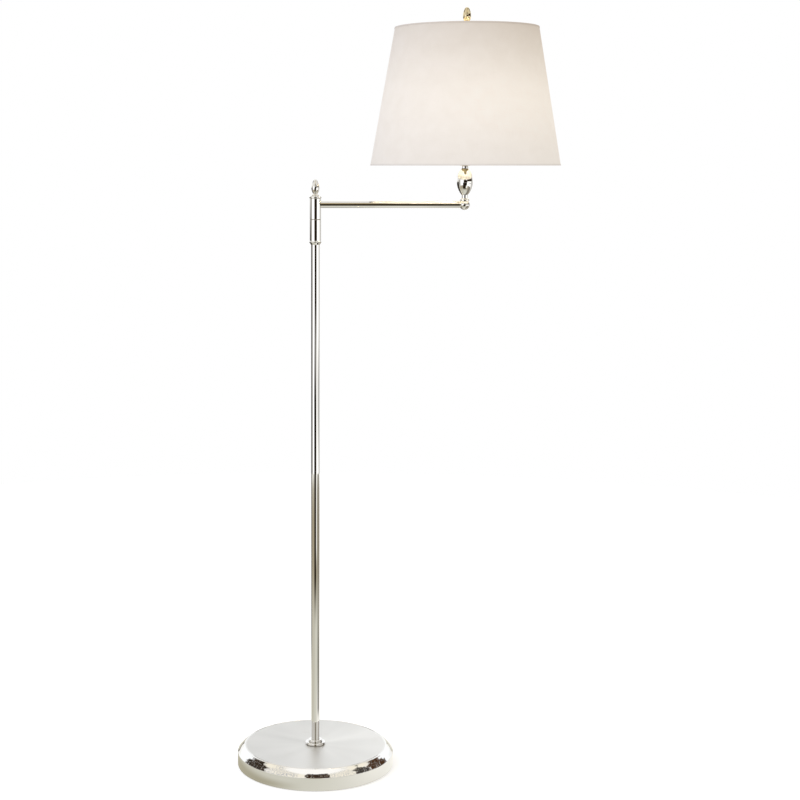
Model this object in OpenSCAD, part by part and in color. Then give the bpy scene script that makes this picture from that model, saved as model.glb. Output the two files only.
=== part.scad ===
// Bridge floor lamp: a weighted round base, a slim pole, an arm that swings about the pole's head,
// and a tapered drum shade on a harp at the arm's end.
// Millimetres. The origin is the centre of the foot on the floor, +Z is up, the arm points along +X.

/* [Base] */
// Overall diameter of the base
base_d = 305; // [285:1:340]
// Height of the upright wall of the base cover
base_wall_h = 25; // [22:0.5:40]
// Width of the sloping band round the top plate
base_band_w = 13.5; // [8:0.5:20]
// Height of the sloping band round the top plate
base_band_h = 13.3; // [8:0.1:20]
// Rounding where the sloping band meets the top plate
base_edge_r = 2.5; // [1:0.5:4]
// Thickness of the spun cover
base_skin = 1.2; // [0.8:0.1:2]
// Gap between the cover's lower edge and the floor
base_lift = 1; // [0.5:0.1:2]
// Thickness of the felt pad
felt_t = 3; // [2:0.5:4]
// Thickness of the cast weight outside its boss
weight_t = 16; // [15:0.5:19]
// Room between the weight, or the felt, and the cover's wall
weight_gap = 1.3; // [0.5:0.1:3]
// Diameter of the boss that carries the cover's top plate
boss_d = 60; // [56:1:90]
// Diameter of the recess under the boss
recess_d = 44; // [42:1:50]
// Depth of the recess under the boss
recess_h = 23; // [21:0.5:26]

/* [Cord inlet] */
// Height of the inlet's centre above the floor
inlet_z = 11; // [10:0.5:12]
// Bore of the inlet bushing
inlet_bore = 6.6; // [6:0.1:7.4]
// Wall of the inlet bushing
inlet_wall = 1.45; // [1:0.05:1.8]
// Length of the bushing inside the cover's outer face
inlet_len = 10; // [7:0.5:14]
// Width of the bushing's flange round its body
inlet_flange_w = 2.25; // [1.5:0.05:3]
// Thickness of the bushing's flange
inlet_flange_t = 2; // [1:0.1:3]
// Room round the bushing in the weight's channel
inlet_slack = 0.5; // [0.3:0.1:1]

/* [Threaded tube] */
// Diameter of the threaded tube that holds the lamp together
thread_d = 10; // [9.5:0.1:10.5]
// Bore of the threaded tube
thread_bore = 6.6; // [6:0.1:7.2]
// Width across the flats of a nut
nut_flats = 14; // [13:0.1:14.5]
// Thickness of the nut under the base
nut_h = 5; // [3:0.5:6]
// Diameter of the washer under the base
washer_d = 36; // [24:1:40]
// Thickness of the washer under the base
washer_t = 2; // [1:0.1:3]
// Length of thread that stands out past a nut
thread_end = 1; // [0.5:0.1:2]

/* [Foot] */
// Diameter of the foot flange
foot_flange_d = 39; // [32:0.5:50]
// Height of the foot flange
foot_flange_h = 5; // [4:0.1:8]
// Wall of the collar round the pole's foot
foot_collar_wall = 5.45; // [3:0.05:7]
// Height of the collar round the pole's foot
foot_collar_h = 4.5; // [3:0.1:8]
// Rounding of the turned edges
turned_edge = 1.6; // [0.5:0.1:1.8]
// Length of the threaded plugs in the ends of the pole
plug_len = 24; // [18:1:40]

/* [Pole] */
// Diameter of the pole
pole_d = 16; // [15:0.5:20]
// Wall of the pole
pole_wall = 1.2; // [0.8:0.1:1.4]
// Length of the pole tube
pole_len = 1016.7; // [700:1:1300]

/* [Pole head] */
// Wall of the lower collar
collar_wall = 2.45; // [2:0.05:4]
// Length of the lower collar
collar_len = 46.8; // [40:0.1:70]
// How far the bead at the collar's foot stands out
bead_out = 1; // [0.5:0.1:2]
// Height of the bead at the collar's foot
bead_h = 7.2; // [6:0.1:10]
// Rounding of the bead
bead_r = 2.5; // [2:0.1:3]
// Thickness of the plug's head on top of the pole tube
plug_head_h = 3.7; // [2:0.1:5]
// Thickness of the washer that the head turns on
thrust_t = 0.8; // [0.5:0.1:1.5]
// How far that washer's rim lies inside the collar's face
thrust_inset = 0.3; // [0.1:0.1:1]
// Length of the turning sleeve
sleeve_len = 39; // [36:0.5:50]
// Wall of the turning sleeve
sleeve_wall = 1.5; // [1:0.1:2]
// Length of the lower bush in the sleeve
low_bush_len = 6; // [5:0.5:7]
// Length of the upper bush in the sleeve
high_bush_len = 5; // [3:0.5:6]
// Gap between the two bushes
bush_gap = 2; // [1:0.5:3]
// Running clearance between the spindle and its bushes, on the radius
running = 0.03; // [0.02:0.01:0.08]
// Thickness of the spring washer over the bushes
spring_t = 0.8; // [0.5:0.1:1]
// Thickness of the nut over the spring washer
pivot_nut_h = 4; // [3:0.5:4.5]
// Diameter of the stop pin
stop_pin_d = 2; // [1.5:0.1:2]
// Height of the stop pin above the thrust washer
stop_pin_h = 2.2; // [1.5:0.1:3]
// Room round the stop pin in its groove
stop_slack = 0.15; // [0.1:0.05:0.3]
// Angle that the arm turns each way from rest
swing_half = 160; // [90:1:165]
// How far the cap's rim stands out past the sleeve
cap_rim_out = 1; // [0.5:0.1:3]
// Height of the cap's rim
cap_rim_h = 4.1; // [3.4:0.1:6]
// Height of the cap's cone
cap_cone_h = 5; // [3:0.1:8]
// Depth that the cap's spigot reaches into the sleeve
cap_spigot = 3; // [2:0.1:3]

/* [Finials] */
// Greatest diameter of a finial
finial_d = 15.2; // [12:0.1:18]
// Diameter of a finial's neck
finial_neck_d = 9; // [7.6:0.1:10]
// Height from a finial's neck to its widest place
finial_low_h = 11; // [8:0.1:14]
// Height from a finial's widest place to its tip
finial_top_h = 15.2; // [13:0.1:20]
// Rounding of a finial's tip
finial_tip_r = 5; // [3:0.1:5.8]
// Diameter of the pole finial's stud
finial_stud_d = 5; // [4:0.1:6]
// Length of the pole finial's stud
finial_stud_len = 8; // [5:0.5:9]
// Diameter of the shade finial's foot
finial_foot_d = 14; // [12:0.5:20]
// Height of the shade finial's foot
finial_foot_h = 2.5; // [2:0.1:4]
// Height of the shade finial's stem between its foot and its neck
finial_stem_h = 8.5; // [4:0.1:16]

/* [Arm] */
// Distance from the pole's axis to the shade's axis
arm_reach = 280; // [240:1:420]
// Diameter of the arm
arm_d = 12.7; // [11:0.1:14]
// Wall of the arm
arm_wall = 1.2; // [0.8:0.1:1.6]
// Distance from the sleeve's top down to the arm's axis
arm_drop = 11.5; // [10.5:0.1:12]

/* [Arm end] */
// Diameter of the ball at the arm's end
ball_d = 20; // [18.5:0.1:26]
// Wall left in the ball between the arm's end and the threaded tube
arm_clear = 0.5; // [0.3:0.1:1]
// Length of the threaded tube's grip in the ball
ball_grip = 1.4; // [1:0.1:2]
// Diameter of the disc on the ball
disc_d = 17.5; // [15:0.1:24]
// Height of the disc on the ball
disc_h = 4.4; // [3.4:0.1:8]
// Wall of the ring between the disc and the egg
stem_wall = 0.65; // [0.5:0.05:1.5]
// Height of the ring between the disc and the egg
stem_h = 7.6; // [5:0.1:14]
// Greatest diameter of the egg
egg_d = 29.8; // [27:0.1:36]
// Height of the egg below its widest place
egg_low_h = 24.4; // [20:0.1:30]
// Diameter of the egg's lower end
egg_foot_d = 12.4; // [12:0.1:15]
// Height of the egg above its widest place
egg_top_h = 23.9; // [20:0.1:30]
// Diameter of the egg's upper end
egg_neck_d = 12; // [11.6:0.1:15]
// Wall of the egg
egg_wall = 1.5; // [1:0.1:2]
// Wall of the ring on top of the egg
neck_wall = 1; // [0.6:0.1:2]
// Height of the ring on top of the egg
neck_h = 5.3; // [4:0.1:12]

/* [Harp] */
// Height from the saddle's top to the shade's seat
harp_h = 249.5; // [235:0.5:290]
// Half the distance between the harp's posts
harp_foot_half = 28.5; // [24:0.5:34]
// Half the greatest width of the harp
harp_half = 57; // [50:0.5:66]
// Diameter of the harp's wire
harp_wire_d = 4; // [3:0.1:4.5]
// Radius of the bends that spread the harp
harp_bend_r = 28.5; // [22:0.5:36]
// Radius of the harp's shoulders
harp_shoulder_r = 45; // [36:0.5:50]
// Height of the saddle's posts
post_h = 29.5; // [24:0.5:34]
// Thickness of the saddle
saddle_t = 1.5; // [1:0.1:2.5]
// Width of the saddle
saddle_w = 14; // [12.5:0.5:20]
// Length of a ferrule
ferrule_len = 12; // [8:0.5:14]
// Outer diameter of a ferrule
ferrule_d = 7; // [6:0.1:8]
// How far a ferrule lifts
ferrule_lift = 12; // [6:0.5:14]
// Straight wire left above a lifted ferrule
leg_spare = 8; // [6:0.5:16]
// Sliding clearance of a ferrule, on the radius
ferrule_clear = 0.05; // [0.02:0.01:0.1]
// Diameter of the shade's seat on the harp
seat_d = 16; // [13:0.5:18]
// Thickness of the shade's seat on the harp
seat_t = 1.5; // [1:0.1:3]
// Diameter of the stud that the finial screws on
harp_stud_d = 6.2; // [5:0.1:6.4]
// Length of the stud above the seat
harp_stud_len = 11; // [6:0.5:11]
// Diameter of the stud's shank through the harp's eye
harp_shank_d = 5; // [4:0.1:6]
// Diameter of the harp's eye
harp_eye_d = 11; // [9:0.1:13]
// How far the eye's faces stand out past the wire
harp_eye_out = 0.3; // [0.2:0.1:0.8]

/* [Socket] */
// Outer diameter of the socket's cap
socket_d = 34; // [32:0.1:38]
// Wall of the socket's metal shells
socket_wall = 0.6; // [0.4:0.1:0.8]
// Height of the socket's cap
socket_cap_h = 17.5; // [14:0.5:22]
// How deep the shell sits in the cap
shell_seat = 5; // [3:0.5:8]
// Length of the socket's shell
shell_len = 48; // [44:0.5:56]
// Wall of the insulating liner
liner_wall = 0.8; // [0.5:0.1:1]
// Height of the insulating body that holds the switch
interior_h = 17; // [14:0.5:20]
// How far the shell stands past the parts inside it, at each end
shell_margin = 2; // [1:0.5:3]
// Wall of the screw shell
screw_wall = 0.5; // [0.3:0.1:0.6]
// Height of the screw shell
screw_h = 26; // [22:0.5:28]
// Diameter of the contact tongue
contact_d = 8; // [6:0.5:10]
// Thickness of the contact tongue
contact_t = 0.8; // [0.4:0.1:1]
// Diameter of the switch's stem
switch_stem_d = 4; // [3:0.1:5]
// Room round the switch's stem where it passes the shell and its liner
switch_room = 1; // [0.5:0.1:2]
// How far the switch's knob stands off the shell
switch_out = 6; // [4:0.5:10]
// Length of the switch's knob
switch_knob_len = 14; // [10:0.5:18]
// Height of the switch's knob
switch_knob_w = 12; // [8:0.5:16]
// Thickness of the switch's knob
switch_knob_t = 3.5; // [2.5:0.1:5]

/* [Bulb] */
// Diameter of the bulb's screw base
bulb_base_d = 26.3; // [26:0.1:26.6]
// Height of the bulb's screw base
bulb_base_h = 24; // [22:0.5:26]
// Wall of the bulb's screw base
bulb_base_wall = 0.5; // [0.4:0.1:0.8]
// Diameter of the bulb's tip contact
bulb_tip_d = 9; // [8:0.5:11]
// Thickness of the bulb's tip contact
bulb_tip_t = 0.8; // [0.5:0.1:1.2]
// Height of the insulator between tip and base
bulb_insulator_h = 3.4; // [2:0.1:4]
// Greatest diameter of the bulb
bulb_d = 60; // [50:1:70]
// Height of the glass above the screw base
bulb_glass_h = 81; // [72:1:96]
// Diameter of the glass's neck
bulb_neck_d = 29.2; // [28:0.1:34]
// Wall of the glass
bulb_wall = 0.8; // [0.6:0.1:1]
// Depth that the glass reaches into the screw base
glass_seat = 5; // [3:0.5:8]
// Thickness of the glass foot that closes the bulb
mount_foot_h = 2; // [1:0.5:3]
// Height of the glass stem inside the bulb
bulb_stem_h = 26; // [18:1:32]
// Diameter of the glass stem inside the bulb
bulb_stem_d = 8; // [6:0.5:10]
// Diameter of the filament's supports
bulb_wire_d = 1; // [0.8:0.1:1.4]
// Height of the filament above the stem
filament_h = 22; // [16:1:26]
// Half the filament's span
filament_half = 13; // [8:0.5:16]

/* [Shade] */
// Diameter of the shade at its lower edge
shade_low_d = 355.6; // [330:0.1:420]
// Diameter of the shade at its upper edge
shade_top_d = 266.7; // [220:0.1:300]
// Height of the shade
shade_h = 253.4; // [220:0.1:270]
// Thickness of the shade's laminated panel
panel_t = 1; // [0.8:0.1:1.5]
// Thickness of the hem tape
hem_t = 0.5; // [0.3:0.1:1]
// Height of the hem tape
hem_h = 3; // [2:0.5:12]
// Diameter of the shade's wire
shade_wire_d = 3; // [2.4:0.1:4]
// Diameter of the spider's hub
hub_d = 24; // [22:0.5:36]
// Thickness of the spider's hub
hub_t = 1.5; // [1:0.1:2]

/* [Leads] */
// Diameter of the lead inside the lamp
lead_d = 5; // [4.8:0.1:5.4]

/* [Hidden] */
$fn = 64;
// Clearance of two round pieces that only slip together
slip = 0.05;
// Gap between the two ends of the lead at the pivot
lead_gap = 0.2;
// How much wider than its rod the ball at a joint is
rod_joint = 0.04;
// Number of spokes in the spider
spokes = 3;
// Turn of the first spoke, so that the spokes straddle the arm's direction
spoke_turn = 60;

// --- heights, from the floor up ---
base_top = base_lift + base_wall_h + base_band_h;
foot_z = base_top + foot_flange_h;
pole_top = foot_z + pole_len;
collar_top = pole_top + plug_head_h;
collar_foot = collar_top - collar_len;
sleeve_z = collar_top + thrust_t;
sleeve_top = sleeve_z + sleeve_len;
arm_z = sleeve_top - arm_drop;
cap_top = sleeve_top + cap_rim_h + cap_cone_h;
// The ball is cut flat just above the arm, for the disc to sit on
ball_flat = arm_d / 2 + slip;
flat_z = arm_z + ball_flat;
stem_z = flat_z + disc_h;
egg_z = stem_z + stem_h;
egg_h = egg_low_h + egg_top_h;
neck_z = egg_z + egg_h;
saddle_z = neck_z + neck_h;
socket_z = saddle_z + saddle_t;

// --- base ---
base_r = base_d / 2;
base_inner_r = base_r - base_skin;
weight_r = base_inner_r - weight_gap;
boss_top = base_top - base_skin;
recess_top = felt_t + recess_h;
foot_nut_z = recess_top - washer_t - nut_h;
foot_thread_z = foot_nut_z - thread_end;
inlet_d = inlet_bore + 2 * inlet_wall;
channel_w = inlet_d + 2 * inlet_slack;
channel_top = inlet_z + inlet_d / 2 + inlet_slack;
lead_start = base_r - inlet_len - lead_d / 2;

// --- pole and its head ---
pole_bore = pole_d - 2 * pole_wall;
collar_bore = pole_d + 2 * slip;
collar_d = collar_bore + 2 * collar_wall;
sleeve_bore = collar_d - 2 * sleeve_wall;
bush_bore = thread_d + 2 * running;
low_bush_top = sleeve_z + low_bush_len;
high_bush_z = low_bush_top + bush_gap;
high_bush_top = high_bush_z + high_bush_len;
pivot_nut_z = high_bush_top + spring_t;
spindle_top = pivot_nut_z + pivot_nut_h + thread_end;
spindle_z = pole_top - plug_len + thread_end;
// The stop pin stands midway in the wall of the plug's head
stop_r = (thread_d + pole_d) / 4;
stop_pin_top = sleeve_z + stop_pin_h;
stop_room = stop_pin_d / 2 + stop_slack;
// Half angle of the land in the bush that the pin stops against
stop_half = asin((stop_pin_d / 2) / stop_r);
stop_land = 180 - swing_half - stop_half;

// --- arm and what it carries ---
arm_bore = arm_d - 2 * arm_wall;
arm_end = arm_reach - thread_d / 2 - arm_clear;
// The lead turns from the spindle into the arm on this radius
head_bend = arm_z - spindle_top;
// and from the arm up into the head's threaded tube on this one
end_bend = ball_flat - ball_grip;
head_thread_z = arm_z + end_bend;
head_thread_top = socket_z + socket_cap_h / 3;
stem_d = thread_d + 2 * stem_wall;
neck_d = thread_d + 2 * neck_wall;
// Above its widest place the egg is part of an ellipse, which would have this half height whole
egg_dome = egg_top_h / sqrt(1 - (egg_neck_d / egg_d) * (egg_neck_d / egg_d));

// --- harp ---
post_top = socket_z + post_h;
ferrule_z = post_top - ferrule_len / 2;
leg_h = ferrule_len / 2 + ferrule_lift + leg_spare;
leg_top = post_top + leg_h;
// Angle that brings a leg out to the harp's full width through two equal bends
harp_angle = acos(1 - (harp_half - harp_foot_half) / (2 * harp_bend_r));
harp_side_z = leg_top + 2 * harp_bend_r * sin(harp_angle);
seat_z = socket_z + harp_h;
harp_eye_h = harp_wire_d + 2 * harp_eye_out;
harp_eye_z = seat_z - seat_t - harp_eye_h;
harp_wire_z = harp_eye_z + harp_eye_h / 2;
harp_shoulder_z = harp_wire_z - harp_shoulder_r;

// --- socket ---
cap_bore = socket_d - 2 * socket_wall;
shell_d = cap_bore - 2 * slip;
shell_bore = shell_d - 2 * socket_wall;
liner_d = shell_bore - 2 * slip;
liner_bore = liner_d - 2 * liner_wall;
shell_z = socket_z + socket_cap_h - shell_seat;
interior_z = shell_z + shell_margin;
interior_top = interior_z + interior_h;
screw_bore = bulb_base_d + 2 * slip;
screw_d = screw_bore + 2 * screw_wall;
switch_z = interior_z + interior_h / 2;
switch_hole_d = switch_stem_d + 2 * switch_room;
knob_x = socket_d / 2 + switch_out;

// --- bulb ---
contact_top = interior_top + contact_t;
tip_top = contact_top + bulb_tip_t;
bulb_base_z = tip_top + bulb_insulator_h;
bulb_base_top = bulb_base_z + bulb_base_h;
glass_z = bulb_base_top - glass_seat;
glass_foot_r = bulb_base_d / 2 - bulb_base_wall;
glass_top = bulb_base_top + bulb_glass_h;
bulb_centre = glass_top - bulb_d / 2;
mount_top = glass_z + mount_foot_h + bulb_stem_h;
filament_z = mount_top + filament_h;
// Lean and length of the wires from the stem out to the filament's ends
filament_run = filament_half - bulb_stem_d / 4;
filament_lean = atan2(filament_run, filament_h);
filament_wire_len = norm([filament_run, filament_h]);

// --- shade ---
shade_top = seat_z + hub_t / 2 + shade_wire_d / 2 + hem_t;
shade_z = shade_top - shade_h;
shade_slope = (shade_low_d - shade_top_d) / 2 / shade_h;
ring_z = seat_z + hub_t / 2;
low_ring_z = shade_z + hem_t + shade_wire_d / 2;
top_ring_r = shade_r(ring_z + shade_wire_d / 2) - panel_t - hem_t - shade_wire_d / 2;
low_ring_r = shade_r(low_ring_z + shade_wire_d / 2) - panel_t - hem_t - shade_wire_d / 2;

// ---------------------------------------------------------------- shared shapes

// Outer radius of the shade at a height
function shade_r(z) = shade_low_d / 2 - (z - shade_z) * shade_slope;

// Points along an arc, from one angle to the other
function arc(centre, r, from, to, steps = 8) =
    [for (i = [0:steps]) let (a = from + (to - from) * i / steps) centre + r * [cos(a), sin(a)]];

// Radius of the arc that leaves its widest place upright and has drawn in by dx after dz
function draw_in(dx, dz) = (dx * dx + dz * dz) / (2 * dx);

// A straight round tube
module tube(d, bore, h) {
    rotate_extrude()
        translate([bore / 2, 0])
            square([(d - bore) / 2, h]);
}

// A turned ring, its outer edges rounded below and above by their own radii
module turned_ring(d, bore, h, low_edge, top_edge) {
    rotate_extrude()
        polygon(concat(
            [[bore / 2, 0]],
            arc([d / 2 - low_edge, low_edge], low_edge, -90, 0),
            arc([d / 2 - top_edge, h - top_edge], top_edge, 0, 90),
            [[bore / 2, h]]));
}

// A hexagon nut on the threaded tube
module nut(h) {
    difference() {
        cylinder(d = nut_flats / cos(30), h = h, $fn = 6);
        translate([0, 0, -h])
            cylinder(d = thread_d, h = 3 * h);
    }
}

// A quarter or less of a round rod's bend, from +Z towards +Y, on a radius
module bend(r, angle, d) {
    translate([0, r, 0])
        rotate([90, 0, 90])
            rotate([0, 0, 180 - angle])
                rotate_extrude(angle = angle)
                    translate([r, 0])
                        circle(d = d);
}

// A round rod that starts along +Z and bends in Y and Z. Each leg is a straight length, and the radius
// and angle of the bend that follows it, towards +Y where the angle is positive. A ball a hair wider
// than the rod closes each joint between a straight and a bend
module rod(legs, d, i = 0) {
    if (i < len(legs)) {
        length = legs[i][0];
        r = legs[i][1];
        angle = legs[i][2];
        centre = [0, sign(angle) * r, 0];
        if (i > 0)
            sphere(d = d + rod_joint);
        if (length > 0)
            cylinder(d = d, h = length);
        if (angle != 0)
            translate([0, 0, length]) {
                if (length > 0)
                    sphere(d = d + rod_joint);
                if (angle > 0)
                    bend(r, angle, d);
                else
                    mirror([0, 1, 0]) bend(r, -angle, d);
                translate(centre)
                    rotate([-angle, 0, 0])
                        translate(-centre)
                            rod(legs, d, i + 1);
            }
    }
}

// The egg of a finial, from its neck up
module finial_egg() {
    wide = finial_d / 2;
    low_r = draw_in(wide - finial_neck_d / 2, finial_low_h);
    tip_h = finial_top_h - finial_tip_r;
    side_r = (wide * wide + tip_h * tip_h - finial_tip_r * finial_tip_r) / (2 * (wide - finial_tip_r));
    meet = atan2(tip_h, side_r - wide);
    rotate_extrude()
        polygon(concat(
            [[0, 0]],
            arc([wide - low_r, finial_low_h], low_r, -asin(finial_low_h / low_r), 0),
            arc([wide - side_r, finial_low_h], side_r, meet / 8, meet),
            arc([0, finial_low_h + tip_h], finial_tip_r, meet + 8, 90)));
}

// ---------------------------------------------------------------- base

// Outline of the base cover's solid, drawn in by the thickness of a skin
module base_outline(skin) {
    slope = atan2(base_band_h, base_band_w);
    // Drawing in moves the sloping band square to itself, so its foot sinks by this much
    sink = skin * tan((90 - slope) / 2);
    shoulder = base_r - base_band_w;
    edge = base_edge_r - skin / 2;
    top = base_top - skin;
    inset = skin * tan(slope / 2);
    corner = shoulder - inset;
    reach = edge * tan(slope / 2);
    polygon(concat(
        [[0, base_lift - skin], [base_r - skin, base_lift - skin]],
        [[base_r - skin, base_lift + base_wall_h - sink]],
        arc([corner - reach, top - edge], edge, 90 - slope, 90, 6),
        [[0, top]]));
}

module base_felt() {
    color("dimgray")
        cylinder(r = weight_r, h = felt_t);
}

module base_weight() {
    color("slategray")
        difference() {
            rotate_extrude()
                polygon([
                    [thread_d / 2 + slip, recess_top], [recess_d / 2, recess_top],
                    [recess_d / 2, felt_t], [weight_r, felt_t],
                    [weight_r, felt_t + weight_t], [boss_d / 2, felt_t + weight_t],
                    [boss_d / 2, boss_top], [thread_d / 2 + slip, boss_top]
                ]);
            translate([-channel_w / 2, 0, 0])
                cube([channel_w, base_r, channel_top]);
        }
}

module base_cover() {
    color("gainsboro")
        difference() {
            rotate_extrude()
                difference() {
                    base_outline(0);
                    base_outline(base_skin);
                }
            cylinder(d = thread_d + 2 * slip, h = 2 * base_top);
            translate([0, 0, inlet_z])
                rotate([-90, 0, 0])
                    cylinder(d = inlet_d, h = base_d);
        }
}

module base_washer() {
    color("silver")
        translate([0, 0, recess_top - washer_t])
            tube(washer_d, thread_d + 2 * slip, washer_t);
}

module base_nut() {
    color("goldenrod")
        translate([0, 0, foot_nut_z])
            nut(nut_h);
}

// Passes the supply cord through the wall of the base, behind the lamp
module cord_bushing() {
    color("black")
        translate([0, base_r - inlet_len, inlet_z])
            rotate([-90, 0, 0])
                rotate_extrude()
                    polygon([
                        [inlet_bore / 2, 0], [inlet_d / 2, 0],
                        [inlet_d / 2, inlet_len], [inlet_d / 2 + inlet_flange_w, inlet_len],
                        [inlet_d / 2 + inlet_flange_w, inlet_len + inlet_flange_t],
                        [inlet_bore / 2, inlet_len + inlet_flange_t]
                    ]);
}

// ---------------------------------------------------------------- foot of the pole

module foot_nipple() {
    color("goldenrod")
        translate([0, 0, foot_thread_z])
            tube(thread_d, thread_bore, foot_z + plug_len - thread_end - foot_thread_z);
}

module foot_flange() {
    color("gainsboro")
        translate([0, 0, base_top])
            turned_ring(foot_flange_d, thread_d, foot_flange_h, turned_edge, turned_edge);
}

module foot_collar() {
    color("gainsboro")
        translate([0, 0, foot_z])
            turned_ring(collar_bore + 2 * foot_collar_wall, collar_bore, foot_collar_h,
                        turned_edge / 4, turned_edge);
}

module pole_foot_plug() {
    color("silver")
        translate([0, 0, foot_z])
            tube(pole_bore, thread_d, plug_len);
}

module pole_tube() {
    color("gainsboro")
        translate([0, 0, foot_z])
            tube(pole_d, pole_bore, pole_len);
}

// ---------------------------------------------------------------- head of the pole, fixed side

// Its head caps the pole tube and holds the stop pin
module pole_top_plug() {
    color("silver")
        difference() {
            union() {
                translate([0, 0, pole_top - plug_len])
                    cylinder(d = pole_bore, h = plug_len + plug_head_h);
                translate([0, 0, pole_top])
                    cylinder(d = pole_d, h = plug_head_h);
            }
            cylinder(d = thread_d, h = 2 * pole_top);
            stop_pin_shape();
        }
}

// The pin stands behind the axis, away from the arm at rest
module stop_pin_shape() {
    translate([-stop_r, 0, pole_top])
        cylinder(d = stop_pin_d, h = stop_pin_top - pole_top);
}

module stop_pin() {
    color("dimgray")
        stop_pin_shape();
}

module lower_collar() {
    waist = collar_d / 2;
    // Angle at which the bead's rounding meets the collar
    meet = acos(1 - bead_out / bead_r);
    color("gainsboro")
        translate([0, 0, collar_foot])
            rotate_extrude()
                polygon(concat(
                    [[collar_bore / 2, 0], [collar_bore / 2 + slip, 0]],
                    arc([waist + bead_out - bead_r, bead_h - bead_r * sin(meet)], bead_r, -45, meet, 10),
                    [[waist, collar_len], [collar_bore / 2, collar_len]]));
}

module thrust_washer() {
    color("goldenrod")
        difference() {
            translate([0, 0, collar_top])
                tube(collar_d - 2 * thrust_inset, thread_d + 2 * slip, thrust_t);
            stop_pin_shape();
        }
}

module pivot_spindle() {
    color("silver")
        translate([0, 0, spindle_z])
            tube(thread_d, thread_bore, spindle_top - spindle_z);
}

module spring_washer() {
    color("dimgray")
        translate([0, 0, high_bush_top])
            tube(nut_flats, thread_d + 2 * slip, spring_t);
}

module pivot_nut() {
    color("goldenrod")
        translate([0, 0, pivot_nut_z])
            nut(pivot_nut_h);
}

// ---------------------------------------------------------------- head of the pole, turning side

module swing_sleeve() {
    color("gainsboro")
        difference() {
            translate([0, 0, sleeve_z])
                tube(collar_d, sleeve_bore, sleeve_len);
            translate([0, 0, arm_z])
                rotate([0, 90, 0])
                    cylinder(d = arm_bore, h = collar_d);
        }
}

// The groove in its underside runs round to a land that the stop pin meets
module bush_lower() {
    color("darkgoldenrod")
        difference() {
            translate([0, 0, sleeve_z])
                tube(sleeve_bore, bush_bore, low_bush_len);
            translate([0, 0, sleeve_z - thrust_t])
                rotate([0, 0, stop_land])
                    rotate_extrude(angle = 360 - 2 * stop_land)
                        translate([stop_r - stop_room, 0])
                            square([2 * stop_room, thrust_t + stop_pin_h + stop_slack]);
        }
}

module bush_upper() {
    color("darkgoldenrod")
        translate([0, 0, high_bush_z])
            tube(sleeve_bore, bush_bore, high_bush_len);
}

module sleeve_cap() {
    rim = collar_d / 2 + cap_rim_out;
    color("gainsboro")
        translate([0, 0, sleeve_top])
            rotate_extrude()
                polygon(concat(
                    [[finial_stud_d / 2, -cap_spigot], [sleeve_bore / 2 - slip, -cap_spigot]],
                    [[sleeve_bore / 2 - slip, 0]],
                    arc([rim - turned_edge, turned_edge], turned_edge, -90, 0),
                    arc([rim - turned_edge, cap_rim_h - turned_edge], turned_edge, 0, 60, 5),
                    [[finial_neck_d / 2, cap_rim_h + cap_cone_h]],
                    [[finial_stud_d / 2, cap_rim_h + cap_cone_h]]));
}

module pole_finial() {
    color("gainsboro")
        translate([0, 0, cap_top]) {
            finial_egg();
            translate([0, 0, -finial_stud_len])
                cylinder(d = finial_stud_d, h = finial_stud_len + finial_low_h / 2);
        }
}

// ---------------------------------------------------------------- arm

module arm_tube() {
    color("gainsboro")
        difference() {
            translate([0, 0, arm_z])
                rotate([0, 90, 0])
                    tube(arm_d, arm_bore, arm_end);
            cylinder(d = collar_d, h = 2 * arm_z);
        }
}

module arm_end_ball() {
    color("gainsboro")
        difference() {
            translate([arm_reach, 0, arm_z])
                sphere(d = ball_d);
            translate([arm_reach - ball_d, -ball_d, flat_z])
                cube(2 * ball_d);
            translate([0, 0, arm_z])
                rotate([0, 90, 0])
                    cylinder(d = arm_d, h = arm_end);
            translate([0, 0, arm_z])
                rotate([0, 90, 0])
                    cylinder(d = arm_bore, h = arm_reach);
            translate([arm_reach, 0, arm_z - thread_d / 2])
                cylinder(d = thread_d, h = ball_d);
        }
}

module ball_disc() {
    color("gainsboro")
        translate([arm_reach, 0, flat_z])
            turned_ring(disc_d, thread_d, disc_h, turned_edge / 2, turned_edge);
}

module stem_ring() {
    color("gainsboro")
        translate([arm_reach, 0, stem_z])
            tube(stem_d, thread_d, stem_h);
}

// Radius of the egg at a height above its foot: one arc below its widest place, an ellipse above
function egg_low_r(h) =
    let (r = draw_in((egg_d - egg_foot_d) / 2, egg_low_h))
    egg_d / 2 - r + sqrt(r * r - (egg_low_h - h) * (egg_low_h - h));
function egg_top_r(h) =
    egg_d / 2 * sqrt(1 - (h - egg_low_h) * (h - egg_low_h) / (egg_dome * egg_dome));
function egg_r(h) = h < egg_low_h ? egg_low_r(h) : egg_top_r(h);

// A thin hollow body, closed in to the threaded tube at both ends
module egg_body() {
    steps = 24;
    heights = [for (i = [0:steps]) egg_h * i / steps];
    inner = [for (i = [steps - 2:-1:2]) [egg_r(heights[i]) - egg_wall, heights[i]]];
    color("gainsboro")
        translate([arm_reach, 0, egg_z])
            rotate_extrude()
                polygon(concat(
                    [[thread_d / 2, 0]],
                    [for (h = heights) [egg_r(h), h]],
                    [[thread_d / 2, egg_h], [thread_d / 2, heights[steps - 2]]],
                    inner,
                    [[thread_d / 2, heights[2]]]));
}

module neck_ring() {
    color("gainsboro")
        translate([arm_reach, 0, neck_z])
            tube(neck_d, thread_d, neck_h);
}

module head_nipple() {
    color("goldenrod")
        translate([arm_reach, 0, head_thread_z])
            tube(thread_d, thread_bore, head_thread_top - head_thread_z);
}

// ---------------------------------------------------------------- harp

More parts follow.
